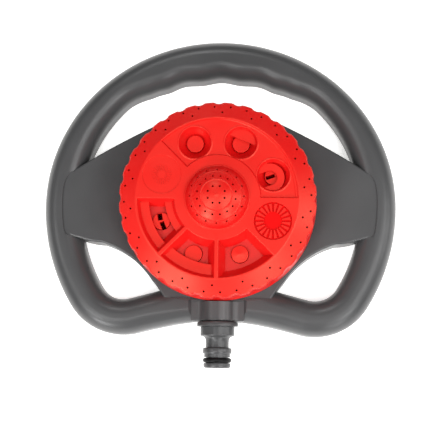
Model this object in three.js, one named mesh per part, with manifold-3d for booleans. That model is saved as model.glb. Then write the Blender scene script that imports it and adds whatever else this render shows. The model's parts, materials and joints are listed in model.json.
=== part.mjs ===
// Eight-pattern turret sprinkler: a wheel-shaped grey base with a click-round red spray dial.
// Millimetres, +Z up. The origin is on the dial's axis, at the level of the ground.
// The hose connector points along -Y.

import * as THREE from 'three';
import { mergeVertices } from 'three/addons/utils/BufferGeometryUtils.js';
import Module from 'manifold-3d';

const wasm = await Module();
wasm.setup();

// ---------------------------------------------------------------- driving dimensions

const GAP = 0.3;                  // clearance between pieces that touch
const WALL = 2.4;                 // moulded wall of the base

// Wheel rim, seen from above. Radii are from the dial's axis unless a centre is given.
const RIM_HALF_WIDTH = 105.2;
const RIM_TOP_Y = 100.9;
const RIM_BAND = 21.1;            // width of the rim, edge to edge
const SIDE_CENTRE_X = -9;         // centre of the flatter arc below the widest point
const LOBE_CENTRE = new THREE.Vector2(57, -41);
const LOBE_ANGLE = Math.atan2(LOBE_CENTRE.y, LOBE_CENTRE.x - SIDE_CENTRE_X);
const LOBE_END_ANGLE = THREE.MathUtils.degToRad(-105);
const NECK_FACE_Y = -69.2;
const NECK_HALF_WIDTH = 14;
const BOTTOM_BAR_INNER_Y = -49.8;
const CROWN_Z = 20.8;
const CROWN_SPRING_Z = 9.8;       // height at which the walls start to curve over
const CROWN_REACH = 9.5;          // how far in from each edge the curve reaches

// Finger grips along the inner edge of the rim's top.
const GRIP_RADIUS = 77.9;
const GRIP_WAVE = 0.58;
const GRIP_PITCH = 16.9;          // degrees
const GRIP_END = 25;              // degrees from the top where the waves stop
const GRIP_BLEND_END = 44;        // degrees from the top where the plain rim starts

// Spokes and hub.
const PLATE_Z = 20;
const HUB_RADIUS = 59.3;
const HUB_WALL_RADIUS = 52.8;     // ring under the hub that the cover fits in
const COVER_RADIUS = 50;
const COVER_THICKNESS = 2.6;
const COVER_SCREWS = 6;
const COVER_SCREW_RADIUS = 44;
const COVER_SCREW_START = 10;     // degrees
const PIVOT_BUSH_RADIUS = 8;
const PIVOT_BORE = 4.1;
const PIVOT_BUSH_BOTTOM = 9;

// Water inlet.
const INLET_Z = 15;
const NECK_RADIUS = 10.5;
const SHOULDER_REACH = 15.5;      // the low shoulders beside the neck: half width, depth and top
const SHOULDER_DEPTH = 21.2;
const SHOULDER_BACK_Y = -57;
const SHOULDER_Z = 19;
const NECK_INNER_Y = -58.6;
const NECK_BORE = 7.3;
const DUCT_Z = 11.9;
const DUCT_RADIUS = 5.3;
const DUCT_BORE = 3.7;
const DUCT_BEND_Y = -46;
const PORT_RADIUS = 26.2;         // distance of the outlet port from the dial's axis
const PORT_ANGLE = THREE.MathUtils.degToRad(-67.5);
const PORT = new THREE.Vector2(PORT_RADIUS * Math.cos(PORT_ANGLE), PORT_RADIUS * Math.sin(PORT_ANGLE));
const TOWER_RADIUS = 8.5;
const TOWER_BORE = 6.8;
const TOWER_BOTTOM = 4.5;
const TOWER_FLOOR = 6.2;
const TOWER_TOP = 17.3;
const SEAL_RADIUS = 6.5;
const SEAL_BORE = 3.5;
const SEAL_BOTTOM = 13.5;

// Detent.
const DETENT_RADIUS = 44;
const DETENT_PIN_RADIUS = 2.4;
const DETENT_PIN_BOTTOM = 11.5;
const DETENT_CONE = 1.4;          // height of the pin's conical tip
const DETENT_TUBE_RADIUS = 4.4;

// Dial.
const SECTORS = 8;
const SECTOR = 360 / SECTORS;
const DIAL_RADIUS = 57.1;
const FLANGE_RADIUS = 57.5;       // smooth ring below the scallops
const DIAL_BOTTOM = 21.4;
const FACE_Z = 45;
const FACE_RADIUS = 46.9;
const CHAMFER_EDGE_Z = 39.5;
const CHAMFER_EDGE_RADIUS = 56.7;
const DIAL_WALL = 2.4;
const SCALLOPS = 32;
const SCALLOP_DEPTH = 0.95;
const SCALLOP_RADIUS = 4.6;
const SCALLOP_BOTTOM = 25;
const DOME_RADIUS = 19;
const DOME_HEIGHT = 11.5;
const CEILING_Z = FACE_Z - DIAL_WALL;
const POCKET_UNDERSIDE = 36.6;
const POCKET_FLOOR = 38.6;
const POCKET_INNER = 24.6;
const POCKET_OUTER = 45.9;
const POCKET_DRAFT = 3.9;         // how far the walls lean in from face to floor
const PANEL_Z = 44.1;             // sunken panel round the three wells
const LEDGE_TOP = 42.2;
const LEDGE_BOTTOM = 40.5;
const ARC_LEDGES = [[4, 39.3, 44.6], [4, 25.4, 30.1], [5, 38.2, 44.9]];   // sector, radii
const HALF_LEDGE_OFFSET = 2.2;    // from the nozzle's axis out to the half disc's straight edge
const MIST_LEDGE_CENTRE = new THREE.Vector2(30.2, 12.1);
const MIST_LEDGE_RADIUS = 8.3;
const MIST_NOTCH_RADIUS = 4.25;
const MIST_NOTCH_ANGLE = THREE.MathUtils.degToRad(19);
const RIB_HALF_WIDTH = 1.15;
const NOZZLE_RADIUS_FROM_AXIS = 34.6;
const NOZZLE_RADIUS = 4.9;
const NOZZLE_TOP = 40.2;
const NOZZLE_SLIT = 0.3;          // ring-shaped gap that the water leaves by
const SLOT_FLOOR = 30;            // bottom of the jet slots in the nozzle cores
const WELL_RADIUS = 9.4;
const SUN_DISC_RADIUS = 10.8;      // shallow round recess of the last sector
const DISTRIBUTOR_RADIUS = 54.2;
const DISTRIBUTOR_TOP = 24;
const SEAL_THICKNESS = 0.8;
const CHAMBER_BOTTOM = DISTRIBUTOR_TOP + GAP;
const CHAMBER_WALL = 1.6;
const DIAL_SCREWS = 4;
const DIAL_SCREW_RADIUS = 49.5;

// ---------------------------------------------------------------- materials

const greyPlastic = new THREE.MeshStandardMaterial({ color: 0x4a4a4c, roughness: 0.5, metalness: 0 });
const redPlastic = new THREE.MeshStandardMaterial({ color: 0xe81c1c, roughness: 0.42, metalness: 0 });
const blackPlastic = new THREE.MeshStandardMaterial({ color: 0x1c1c1e, roughness: 0.55, metalness: 0 });
const whitePlastic = new THREE.MeshStandardMaterial({ color: 0xd8d6cf, roughness: 0.4, metalness: 0 });
const rubber = new THREE.MeshStandardMaterial({ color: 0x101010, roughness: 0.8, metalness: 0 });
const steel = new THREE.MeshStandardMaterial({ color: 0xb4b6b8, roughness: 0.3, metalness: 1 });

// ---------------------------------------------------------------- solids

const degrees = THREE.MathUtils.degToRad;

function signedVolume(position, index) {
  const [a, b, c] = [new THREE.Vector3(), new THREE.Vector3(), new THREE.Vector3()];
  let volume = 0;
  for (let i = 0; i < index.length; i += 3) {
    a.fromBufferAttribute(position, index[i]);
    b.fromBufferAttribute(position, index[i + 1]);
    c.fromBufferAttribute(position, index[i + 2]);
    volume += a.dot(b.cross(c));
  }
  return volume;
}

// Turns a closed three.js geometry into a solid that can be joined and cut.
function solid(geometry) {
  const bare = geometry.clone();
  bare.deleteAttribute('normal');
  bare.deleteAttribute('uv');
  const merged = mergeVertices(bare, 1e-4);
  const triangles = [];
  const all = merged.index.array;
  for (let i = 0; i < all.length; i += 3) {
    const [p, q, r] = [all[i], all[i + 1], all[i + 2]];
    if (p !== q && q !== r && r !== p) triangles.push(p, q, r);
  }
  if (signedVolume(merged.attributes.position, triangles) < 0) triangles.reverse();
  return new wasm.Manifold(new wasm.Mesh({
    numProp: 3,
    vertProperties: new Float32Array(merged.attributes.position.array),
    triVerts: new Uint32Array(triangles),
  }));
}

function geometryOf(body) {
  const mesh = body.getMesh();
  const geometry = new THREE.BufferGeometry();
  geometry.setAttribute('position', new THREE.BufferAttribute(mesh.vertProperties, 3));
  geometry.setIndex(new THREE.BufferAttribute(mesh.triVerts, 1));
  return geometry;
}

function join(first, ...others) {
  return others.reduce((body, other) => body.add(other), first);
}

function cut(body, ...tools) {
  return tools.reduce((rest, tool) => rest.subtract(tool), body);
}

// A body of revolution about Z from a list of [radius, z].
function turned(profile, segments = 32) {
  const points = profile.map(([radius, z]) => new THREE.Vector2(radius, z));
  return solid(new THREE.LatheGeometry(points, segments).rotateX(Math.PI / 2));
}

// A body of revolution about the inlet's axis from a list of [radius, y].
function turnedAlongInlet(profile, segments = 32) {
  const points = profile.map(([radius, y]) => new THREE.Vector2(radius, y));
  return solid(new THREE.LatheGeometry(points, segments).translate(0, 0, INLET_Z));
}

// An upright cylinder or cone from z0 to z1.
function post(radius, z0, z1, x = 0, y = 0, segments = 20, topRadius = radius) {
  const geometry = new THREE.CylinderGeometry(topRadius, radius, z1 - z0, segments);
  return solid(geometry.rotateX(Math.PI / 2).translate(x, y, (z0 + z1) / 2));
}

function tube(outer, inner, z0, z1, segments = 32) {
  return turned([[inner, z0], [outer, z0], [outer, z1], [inner, z1], [inner, z0]], segments);
}

// A round bar between two points.
function bar(radius, start, end, segments = 14) {
  const along = new THREE.Vector3().subVectors(end, start);
  const geometry = new THREE.CylinderGeometry(radius, radius, along.length(), segments);
  const upright = new THREE.Vector3(0, 1, 0);
  const turn = new THREE.Quaternion().setFromUnitVectors(upright, along.clone().normalize());
  const middle = start.clone().add(end).multiplyScalar(0.5);
  return solid(geometry.applyQuaternion(turn).translate(middle.x, middle.y, middle.z));
}

function block(width, depth, z0, z1, x = 0, y = 0, angle = 0) {
  const geometry = new THREE.BoxGeometry(width, depth, z1 - z0).translate(x, y, (z0 + z1) / 2);
  return solid(geometry.rotateZ(angle));
}

function prism(shape, z0, z1, curveSegments = 6) {
  const geometry = new THREE.ExtrudeGeometry(shape, { depth: z1 - z0, bevelEnabled: false, curveSegments });
  return solid(geometry.translate(0, 0, z0));
}

// A prism whose outline is moved inward by an even inset.
function insetPrism(shape, inset, z0, z1) {
  const lip = 0.01;
  const geometry = new THREE.ExtrudeGeometry(shape, {
    depth: z1 - z0 - 2 * lip, bevelEnabled: true, bevelThickness: lip, bevelSize: 0,
    bevelOffset: -inset, bevelSegments: 1,
  });
  return solid(geometry.translate(0, 0, z0 + lip));
}

// A solid between two outlines that have the same number of corners.
function lofted(lower, upper, z0, z1, curveSegments = 8) {
  const bottom = lower.getPoints(curveSegments);
  const top = upper.getPoints(curveSegments);
  const count = bottom.length;
  const corners = [...bottom.map(({ x, y }) => [x, y, z0]), ...top.map(({ x, y }) => [x, y, z1])];
  const caps = THREE.ShapeUtils.triangulateShape(bottom, []);
  const faces = caps.flatMap(([p, q, r]) => [[p, r, q], [p + count, q + count, r + count]]);
  for (let i = 0; i < count; i++) {
    const next = (i + 1) % count;
    faces.push([i, next, next + count], [i, next + count, i + count]);
  }
  const geometry = new THREE.BufferGeometry();
  geometry.setAttribute('position', new THREE.Float32BufferAttribute(corners.flat(), 3));
  geometry.setIndex(faces.flat());
  return solid(geometry);
}

function polar(radius, angle) {
  return new THREE.Vector2(radius * Math.cos(angle), radius * Math.sin(angle));
}

// A compression spring standing on z0.
class Helix extends THREE.Curve {
  constructor(radius, height, turns) {
    super();
    Object.assign(this, { radius, height, turns });
  }

  getPoint(t) {
    const angle = 2 * Math.PI * this.turns * t;
    return new THREE.Vector3(this.radius * Math.cos(angle), this.radius * Math.sin(angle), this.height * t);
  }
}

function spring(radius, wire, z0, z1, turns, x, y) {
  const section = new THREE.Shape().absarc(0, 0, wire, 0, 2 * Math.PI);
  const path = new Helix(radius, z1 - z0 - 2 * wire, turns);
  const geometry = new THREE.ExtrudeGeometry(section, {
    steps: turns * 8, curveSegments: 2, extrudePath: path,
  });
  return solid(geometry.translate(x, y, z0 + wire));
}

// ---------------------------------------------------------------- base outlines

// Right halves are drawn from +Y clockwise to -Y, then mirrored. Points that coincide are dropped.
function mirrored(half) {
  const right = half.filter((point, i) => i === 0 || point.distanceTo(half[i - 1]) > 0.05);
  const left = right.filter((point) => point.x > 0.05).map((point) => new THREE.Vector2(-point.x, point.y));
  return new THREE.Shape([...right, ...left.reverse()]);
}

function rimOuterHalf() {
  const sideRadius = RIM_HALF_WIDTH - SIDE_CENTRE_X;
  const lobeRadius = sideRadius - Math.hypot(LOBE_CENTRE.x - SIDE_CENTRE_X, LOBE_CENTRE.y);
  const path = new THREE.Path();
  path.absellipse(0, 0, RIM_HALF_WIDTH, RIM_TOP_Y, Math.PI / 2, 0, true);
  path.absarc(SIDE_CENTRE_X, 0, sideRadius, 0, LOBE_ANGLE, true);
  path.absarc(LOBE_CENTRE.x, LOBE_CENTRE.y, lobeRadius, LOBE_ANGLE, LOBE_END_ANGLE, true);
  path.quadraticCurveTo(30, NECK_FACE_Y - 2.3, NECK_HALF_WIDTH, NECK_FACE_Y);
  return path.getPoints(7);
}

function gripRadius(degreesFromTop) {
  const plain = RIM_HALF_WIDTH - RIM_BAND;
  const blend = THREE.MathUtils.smoothstep(degreesFromTop, GRIP_END - 3, GRIP_BLEND_END);
  const fade = 1 - THREE.MathUtils.smoothstep(degreesFromTop, GRIP_END, GRIP_END + 8);
  const wave = GRIP_WAVE * fade * Math.cos(degrees(degreesFromTop) * 360 / GRIP_PITCH);
  const swell = 1.3 * (degreesFromTop / GRIP_END) ** 2 * fade;
  return THREE.MathUtils.lerp(GRIP_RADIUS + swell, plain, blend) + wave;
}

function rimInnerHalf() {
  const points = [];
  for (let fromTop = 0; fromTop < 88; fromTop += fromTop < GRIP_BLEND_END ? 2.8 : 8) {
    points.push(polar(gripRadius(fromTop), degrees(90 - fromTop)));
  }
  const sideRadius = RIM_HALF_WIDTH - SIDE_CENTRE_X;
  const lobeRadius = sideRadius - Math.hypot(LOBE_CENTRE.x - SIDE_CENTRE_X, LOBE_CENTRE.y);
  const path = new THREE.Path();
  path.absarc(SIDE_CENTRE_X, 0, sideRadius - RIM_BAND, 0, LOBE_ANGLE, true);
  path.absarc(LOBE_CENTRE.x, LOBE_CENTRE.y, lobeRadius - RIM_BAND, LOBE_ANGLE, LOBE_END_ANGLE, true);
  path.lineTo(30, BOTTOM_BAR_INNER_Y);
  return [...points, ...path.getPoints(4)];
}

// Spokes and hub in one outline: it runs out to the top line of the rim.
function plateShape() {
  const path = new THREE.Path();
  path.absarc(0, 0, HUB_RADIUS, Math.PI / 2, degrees(65.6), true);
  path.quadraticCurveTo(59.3, 38.3, 88, 19.4);
  path.quadraticCurveTo(92.4, 15.8, 93.1, 8);
  path.quadraticCurveTo(93.9, -2, 92.4, -13);
  path.lineTo(90.8, -19.6);
  path.quadraticCurveTo(88.5, -18.8, 82.4, -21);
  path.quadraticCurveTo(76, -23.2, 69.2, -23.5);
  path.absarc(85.7, -77.8, 56.8, degrees(107), degrees(146.3), false);
  path.lineTo(31.5, -56);
  return mirrored(path.getPoints(5));
}

// ---------------------------------------------------------------- base

// A body of the outline with upright sides, whose edge then follows a quarter-ellipse up to the top.
// A positive reach leans the edge in, and a negative one leans it out.
function crowned(shape, reach, inset, foot, top, steps) {
  const geometry = new THREE.ExtrudeGeometry(shape, {
    depth: CROWN_SPRING_Z - foot,
    bevelEnabled: true,
    bevelThickness: top - CROWN_SPRING_Z,
    bevelSize: reach - inset,
    bevelOffset: -reach,
    bevelSegments: steps,
  });
  return solid(geometry.translate(0, 0, foot));
}

// The rim as a closed ring with a crowned top. The hollow inside it has the same form, moved in.
function crownedRim(inset, foot, top, steps) {
  const outer = crowned(mirrored(rimOuterHalf()), CROWN_REACH, inset, foot, top, steps);
  const inner = crowned(mirrored(rimInnerHalf()), -CROWN_REACH, -inset, foot, top + 0.05, steps);
  return cut(outer, inner, block(300, 300, -30, foot));
}

function coverScrewPlaces() {
  return Array.from({ length: COVER_SCREWS }, (_, i) => (
    polar(COVER_SCREW_RADIUS, degrees(COVER_SCREW_START + 60 * i))
  ));
}

function baseFrame() {
  const plate = plateShape();
  const under = PLATE_Z - WALL;
  const shoulderY = NECK_FACE_Y + SHOULDER_DEPTH / 2;
  const shoulders = block(2 * SHOULDER_REACH, SHOULDER_DEPTH, 0, SHOULDER_Z, 0, shoulderY);
  const clearance = block(2 * SHOULDER_REACH, 20, SHOULDER_Z, CROWN_Z + 5, 0, SHOULDER_BACK_Y - 10);
  const rim = cut(crownedRim(0, 0, CROWN_Z, 3), prism(plate, PLATE_Z, CROWN_Z + 5), clearance);
  const outer = join(rim, prism(plate, 0, PLATE_Z), shoulders);
  const hollow = join(crownedRim(WALL, -1, CROWN_Z - WALL, 1), insetPrism(plate, WALL, -1, under));
  let body = outer.subtract(hollow.subtract(block(300, 300, under, 40, 0, 0)));

  const inletPoint = (y, z = INLET_Z) => new THREE.Vector3(0, y, z);
  const neck = bar(NECK_RADIUS, inletPoint(NECK_FACE_Y), inletPoint(NECK_INNER_Y), 24);
  const neckWeb = block(2 * NECK_RADIUS, 8, 0, INLET_Z, 0, NECK_FACE_Y + 4);
  const hubWall = tube(HUB_WALL_RADIUS, HUB_WALL_RADIUS - WALL, 0, under + 1, 32);
  const bush = post(PIVOT_BUSH_RADIUS, PIVOT_BUSH_BOTTOM, PLATE_Z - 1);
  const detentTube = post(DETENT_TUBE_RADIUS, COVER_THICKNESS + GAP, PLATE_Z - 1, 0, DETENT_RADIUS, 12);
  const bosses = coverScrewPlaces().map((place) => (
    post(4, COVER_THICKNESS + GAP, PLATE_Z - 1, place.x, place.y, 10)
  ));
  body = join(body, neck, neckWeb, hubWall, bush, detentTube, ...bosses);

  const neckBore = bar(NECK_BORE, inletPoint(NECK_FACE_Y - 5), inletPoint(NECK_INNER_Y + 0.5), 20);
  const ductPassage = bar(
    DUCT_RADIUS + GAP, inletPoint(NECK_FACE_Y + 6, DUCT_Z), inletPoint(DUCT_BEND_Y, DUCT_Z), 14,
  );
  const portHole = post(SEAL_RADIUS + GAP, under - 2, PLATE_Z + 2, PORT.x, PORT.y, 20);
  const pivotBore = post(PIVOT_BORE, 0, PLATE_Z + 2);
  const detentBore = post(DETENT_PIN_RADIUS + GAP, 0, PLATE_Z + 2, 0, DETENT_RADIUS, 14);
  const pilots = coverScrewPlaces().map((place) => post(1.4 + GAP, 0, 13, place.x, place.y, 8));
  return cut(body, neckBore, ductPassage, portHole, pivotBore, detentBore, ...pilots);
}

function hubCover() {
  const holes = coverScrewPlaces().flatMap((place) => [
    post(1.4 + GAP, -1, COVER_THICKNESS + 1, place.x, place.y, 10),
    post(3.1 + GAP + 0.3, -0.001, 2, place.x, place.y, 10, 1.4 + GAP),
  ]);
  return cut(post(COVER_RADIUS, 0, COVER_THICKNESS, 0, 0, 36), ...holes);
}

function coverScrew() {
  return turned([[0, 0.3], [3.1, 0.3], [1.4, 2], [1.4, 11], [0.5, 11.8], [0, 11.8]], 10);
}

// ---------------------------------------------------------------- water inlet

function hoseConnector() {
  const bore = 4.5;
  return turnedAlongInlet([
    [bore, -62.2], [7, -62.2], [7, -69.5], [12, -69.5], [12, -71.2], [11.2, -72.2],
    [9.95, -72.2], [9.95, -77.7], [8, -78.2], [6.75, -79.6], [6.75, -84.2], [7.2, -84.7],
    [8.3, -85], [8.5, -85.8], [8.4, -87.6], [7.65, -88], [7.65, -90.2],
    [6.5, -90.3], [6.5, -93.5], [8, -93.7], [8, -95.4], [7.2, -96.5], [bore, -96.5], [bore, -62.2],
  ], 20);
}

function ringAlongInlet(inner, outer, y0, y1, segments = 20) {
  const edge = Math.min((y1 - y0) / 3, (outer - inner) / 3);
  return turnedAlongInlet([
    [inner, y0], [outer - edge, y0], [outer, y0 + edge], [outer, y1 - edge], [outer - edge, y1],
    [inner, y1], [inner, y0],
  ], segments);
}

function inletDuct() {
  const start = new THREE.Vector3(0, NECK_INNER_Y - 0.7, DUCT_Z);
  const mouth = new THREE.Vector3(0, NECK_INNER_Y - 2.5, DUCT_Z);
  const bend = new THREE.Vector3(0, DUCT_BEND_Y, DUCT_Z);
  const end = new THREE.Vector3(PORT.x, PORT.y, DUCT_Z);
  const ball = (radius) => solid(new THREE.SphereGeometry(radius, 12, 8).translate(0, DUCT_BEND_Y, DUCT_Z));
  const flange = bar(NECK_BORE - GAP, new THREE.Vector3(0, NECK_INNER_Y - 1.5, INLET_Z),
    new THREE.Vector3(0, NECK_INNER_Y - 0.2, INLET_Z), 20);
  const tower = post(TOWER_RADIUS, TOWER_BOTTOM, TOWER_TOP, PORT.x, PORT.y, 20);
  const body = join(
    flange, bar(DUCT_RADIUS, start, bend), ball(DUCT_RADIUS), bar(DUCT_RADIUS, bend, end), tower,
  );
  const towerBore = post(TOWER_BORE, TOWER_FLOOR, TOWER_TOP + 1, PORT.x, PORT.y, 20);
  return cut(body, towerBore, bar(DUCT_BORE, mouth, bend), ball(DUCT_BORE), bar(DUCT_BORE, bend, end));
}

function portSeal() {
  const top = DIAL_BOTTOM - GAP;
  return turned([
    [SEAL_BORE, SEAL_BOTTOM], [SEAL_RADIUS, SEAL_BOTTOM], [SEAL_RADIUS, top - 0.6],
    [SEAL_RADIUS - 0.6, top], [SEAL_BORE, top], [SEAL_BORE, SEAL_BOTTOM],
  ], 20).translate([PORT.x, PORT.y, 0]);
}

// ---------------------------------------------------------------- pivot and detent

function pivotScrew() {
  const shoulder = DIAL_BOTTOM - GAP;
  return turned([
    [0, 5.2], [5.6, 5.2], [5.6, 7.6], [3.8, 7.6], [3.8, shoulder], [2.4, shoulder],
    [2.4, 31], [1.6, 32], [0, 32],
  ], 16);
}

// The pin stands just clear of the distributor, whose dimples it clicks into.
function detentPin() {
  const tip = DIAL_BOTTOM - GAP;
  return turned([
    [0, DETENT_PIN_BOTTOM], [DETENT_PIN_RADIUS, DETENT_PIN_BOTTOM], [DETENT_PIN_RADIUS, tip - DETENT_CONE],
    [0.6, tip], [0, tip],
  ], 16).translate([0, DETENT_RADIUS, 0]);
}

// ---------------------------------------------------------------- dial

// A ring sector between two radii and two angles, each side moved in by an even inset.
function ringSector(inner, outer, startDegrees, endDegrees, inset) {
  const side = (radius) => Math.asin(inset / radius);
  const [start, end] = [degrees(startDegrees), degrees(endDegrees)];
  const shape = new THREE.Shape();
  shape.absarc(0, 0, outer, start + side(outer), end - side(outer), false);
  shape.absarc(0, 0, inner, end - side(inner), start + side(inner), true);
  return shape;
}

function nozzlePlace(sector) {
  return polar(NOZZLE_RADIUS_FROM_AXIS, degrees((sector + 0.5) * SECTOR));
}

function dialBlank() {
  const inner = DIAL_RADIUS - DIAL_WALL;
  const dome = [
    [0, FACE_Z + DOME_HEIGHT], [5, 56], [9, 54.2], [14.2, 49.9], [17.6, 46.2], [DOME_RADIUS, FACE_Z],
  ];
  const domeInside = [[DOME_RADIUS - DIAL_WALL, CEILING_Z], [12.4, 47.6], [8, 51.9], [4, 53.4], [0, 53.8]];
  return turned([
    ...dome,
    [FACE_RADIUS, FACE_Z], [CHAMFER_EDGE_RADIUS, CHAMFER_EDGE_Z], [DIAL_RADIUS, CHAMFER_EDGE_Z - 1.6],
    [DIAL_RADIUS, SCALLOP_BOTTOM], [FLANGE_RADIUS, SCALLOP_BOTTOM - 1.4], [FLANGE_RADIUS, DIAL_BOTTOM],
    [inner, DIAL_BOTTOM], [inner, CHAMFER_EDGE_Z - 2],
    [FACE_RADIUS - 1, CEILING_Z], ...domeInside,
  ], 48);
}

function scallop(index) {
  const angle = 2 * Math.PI * index / SCALLOPS;
  const centre = polar(DIAL_RADIUS - SCALLOP_DEPTH + SCALLOP_RADIUS, angle);
  return post(SCALLOP_RADIUS, SCALLOP_BOTTOM, FACE_Z, centre.x, centre.y, 14);
}

function chamberWalls() {
  const inner = DOME_RADIUS + 1.5;
  const length = DISTRIBUTOR_RADIUS - 2 - inner;
  const spokes = Array.from({ length: SECTORS }, (_, i) => (
    block(length, CHAMBER_WALL, CHAMBER_BOTTOM, CEILING_Z - 1.2, inner + length / 2, 0, i * degrees(SECTOR))
  ));
  const ring = tube(DOME_RADIUS + 2.6, DOME_RADIUS + 1, CHAMBER_BOTTOM, CEILING_Z + 0.5, 32);
  return join(ring, ...spokes);
}

function dialScrewPlaces() {
  return Array.from({ length: DIAL_SCREWS }, (_, i) => polar(DIAL_SCREW_RADIUS, i * Math.PI / 2));
}

function wellCut(sector) {
  const place = nozzlePlace(sector);
  const holeRadius = NOZZLE_RADIUS + NOZZLE_SLIT;
  return post(holeRadius, POCKET_FLOOR - 0.6, PANEL_Z + 0.01, place.x, place.y, 20, WELL_RADIUS);
}

function pocketCut(sector) {
  const outline = (inset) => ringSector(
    POCKET_INNER + inset, POCKET_OUTER - inset,
    sector * SECTOR, (sector + 1) * SECTOR, RIB_HALF_WIDTH + inset,
  );
  const lean = POCKET_DRAFT / (FACE_Z - POCKET_FLOOR);
  return lofted(outline(POCKET_DRAFT), outline(-lean), POCKET_FLOOR, FACE_Z + 1);
}

function throughHole(sector) {
  const place = nozzlePlace(sector);
  return post(NOZZLE_RADIUS + NOZZLE_SLIT, POCKET_UNDERSIDE - 1, POCKET_FLOOR + 1, place.x, place.y, 20);
}

function dialShell() {
  const wells = [0, 1, 2];
  const pockets = [4, 5, 6];
  const wellBodies = wells.map((sector) => {
    const place = nozzlePlace(sector);
    return post(WELL_RADIUS + 1.6, POCKET_UNDERSIDE, CEILING_Z + 1, place.x, place.y, 20);
  });
  const pocketBodies = pockets.map((sector) => prism(
    ringSector(POCKET_INNER - 1.6, POCKET_OUTER + 1.2, sector * SECTOR - 1, (sector + 1) * SECTOR + 1, 0),
    POCKET_UNDERSIDE, CEILING_Z + 1,
  ));
  const screwBosses = dialScrewPlaces().map((place) => post(2.8, CHAMBER_BOTTOM, 40, place.x, place.y, 10));
  const blank = join(dialBlank(), chamberWalls(), ...wellBodies, ...pocketBodies, ...screwBosses);

  const panel = prism(ringSector(24.8, 46.1, 0, 3 * SECTOR, 0.2), PANEL_Z, FACE_Z + 1, 18);
  const pilots = dialScrewPlaces().map((place) => (
    post(1.3 + GAP, CHAMBER_BOTTOM - 1, 36, place.x, place.y, 10)
  ));
  const sunPlace = nozzlePlace(7);
  const sunDisc = post(SUN_DISC_RADIUS, FACE_Z - 0.85, FACE_Z + 1, sunPlace.x, sunPlace.y, 24);
  const scallops = Array.from({ length: SCALLOPS }, (_, i) => scallop(i));
  const shell = cut(
    blank, panel, ...wells.map(wellCut), ...pockets.map(pocketCut),
    ...[...wells, ...pockets].map(throughHole), ...pilots, ...scallops, sunDisc,
  );
  return join(shell, ledges());
}

// Ledges that hang over the nozzles and shape their spray.
function ledges() {
  const arcLedge = (sector, inner, outer) => prism(
    ringSector(inner, outer, sector * SECTOR, (sector + 1) * SECTOR, RIB_HALF_WIDTH - 0.1),
    LEDGE_BOTTOM - 1, LEDGE_TOP,
  );
  const halfPlace = nozzlePlace(1);
  const halfEdge = NOZZLE_RADIUS_FROM_AXIS + HALF_LEDGE_OFFSET;
  const halfDisc = post(WELL_RADIUS + 0.4, LEDGE_BOTTOM, LEDGE_TOP, halfPlace.x, halfPlace.y, 20);
  const outerSide = block(12, 24, LEDGE_BOTTOM - 1, LEDGE_TOP + 1, halfEdge + 6, 0, degrees(1.5 * SECTOR));
  const half = halfDisc.intersect(outerSide);

  const { x, y } = MIST_LEDGE_CENTRE;
  const mistDisc = post(MIST_LEDGE_RADIUS, LEDGE_BOTTOM, LEDGE_TOP + 0.3, x, y, 20);
  const notch = join(
    post(MIST_NOTCH_RADIUS, LEDGE_BOTTOM - 1, FACE_Z, 0, 0, 16),
    block(14, 2 * MIST_NOTCH_RADIUS, LEDGE_BOTTOM - 1, FACE_Z, -7, 0),
  ).rotate([0, 0, THREE.MathUtils.radToDeg(MIST_NOTCH_ANGLE)]).translate([x, y, 0]);

  const coreRooms = [0, 1, 4, 5].map((sector) => {
    const place = nozzlePlace(sector);
    return post(NOZZLE_RADIUS + NOZZLE_SLIT, POCKET_UNDERSIDE, NOZZLE_TOP + GAP, place.x, place.y);
  });
  const whole = join(
    ...ARC_LEDGES.map(([sector, inner, outer]) => arcLedge(sector, inner, outer)),
    half, cut(mistDisc, notch),
  );
  return cut(whole, ...coreRooms);
}

// Flat ring that seals the distributor to the dial all round.
function dialSeal() {
  const [z0, z1] = [DISTRIBUTOR_TOP + GAP, DISTRIBUTOR_TOP + GAP + SEAL_THICKNESS];
  return tube(DISTRIBUTOR_RADIUS - 0.2, DISTRIBUTOR_RADIUS - 1.6, z0, z1, 32);
}

function distributorPlate() {
  const disc = post(DISTRIBUTOR_RADIUS, DIAL_BOTTOM, DISTRIBUTOR_TOP, 0, 0, 36);
  const boss = post(6.5, DIAL_BOTTOM, 34, 0, 0, 14);
  const ports = Array.from({ length: SECTORS }, (_, i) => {
    const place = polar(PORT_RADIUS, degrees((i + 0.5) * SECTOR));
    return post(3.4, DIAL_BOTTOM - 1, DISTRIBUTOR_TOP + 1, place.x, place.y, 10);
  });
  const dimples = Array.from({ length: SECTORS }, (_, i) => {
    const place = polar(DETENT_RADIUS, degrees(i * SECTOR));
    return post(2.7, DIAL_BOTTOM - 0.01, DIAL_BOTTOM + 1.5, place.x, place.y, 8, 0.5);
  });
  const screwHoles = dialScrewPlaces().flatMap((place) => [
    post(1.3 + GAP, DIAL_BOTTOM - 1, DISTRIBUTOR_TOP + 1, place.x, place.y, 10),
    post(3, DIAL_BOTTOM - 0.01, DIAL_BOTTOM + 1.6, place.x, place.y, 10, 1.3 + GAP),
  ]);
  const threadHole = post(2.4 + GAP, DIAL_BOTTOM - 1, 33, 0, 0, 20);
  return cut(disc.add(boss), ...ports, ...dimples, ...screwHoles, threadHole);
}

function dialScrew() {
  const head = DIAL_BOTTOM + 0.15;
  return turned([[0, head], [2.5, head], [1.3, head + 1.4], [1.3, 34.5], [0, 35.4]], 12);
}

// Nozzle cores: each stands on the distributor and fills all but a thin ring of its hole.
function nozzleCore() {
  return post(NOZZLE_RADIUS, DISTRIBUTOR_TOP + GAP, NOZZLE_TOP, 0, 0, 20);
}

function coneNozzleCore() {
  return nozzleCore().subtract(post(0.4, NOZZLE_TOP - 1, NOZZLE_TOP + 0.01, 0, 0, 16, 1.6));
}

function slot(width, length, angle, x, y) {
  return block(length, width, SLOT_FLOOR, FACE_Z).rotate([0, 0, angle]).translate([x, y, 0]);
}

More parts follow.
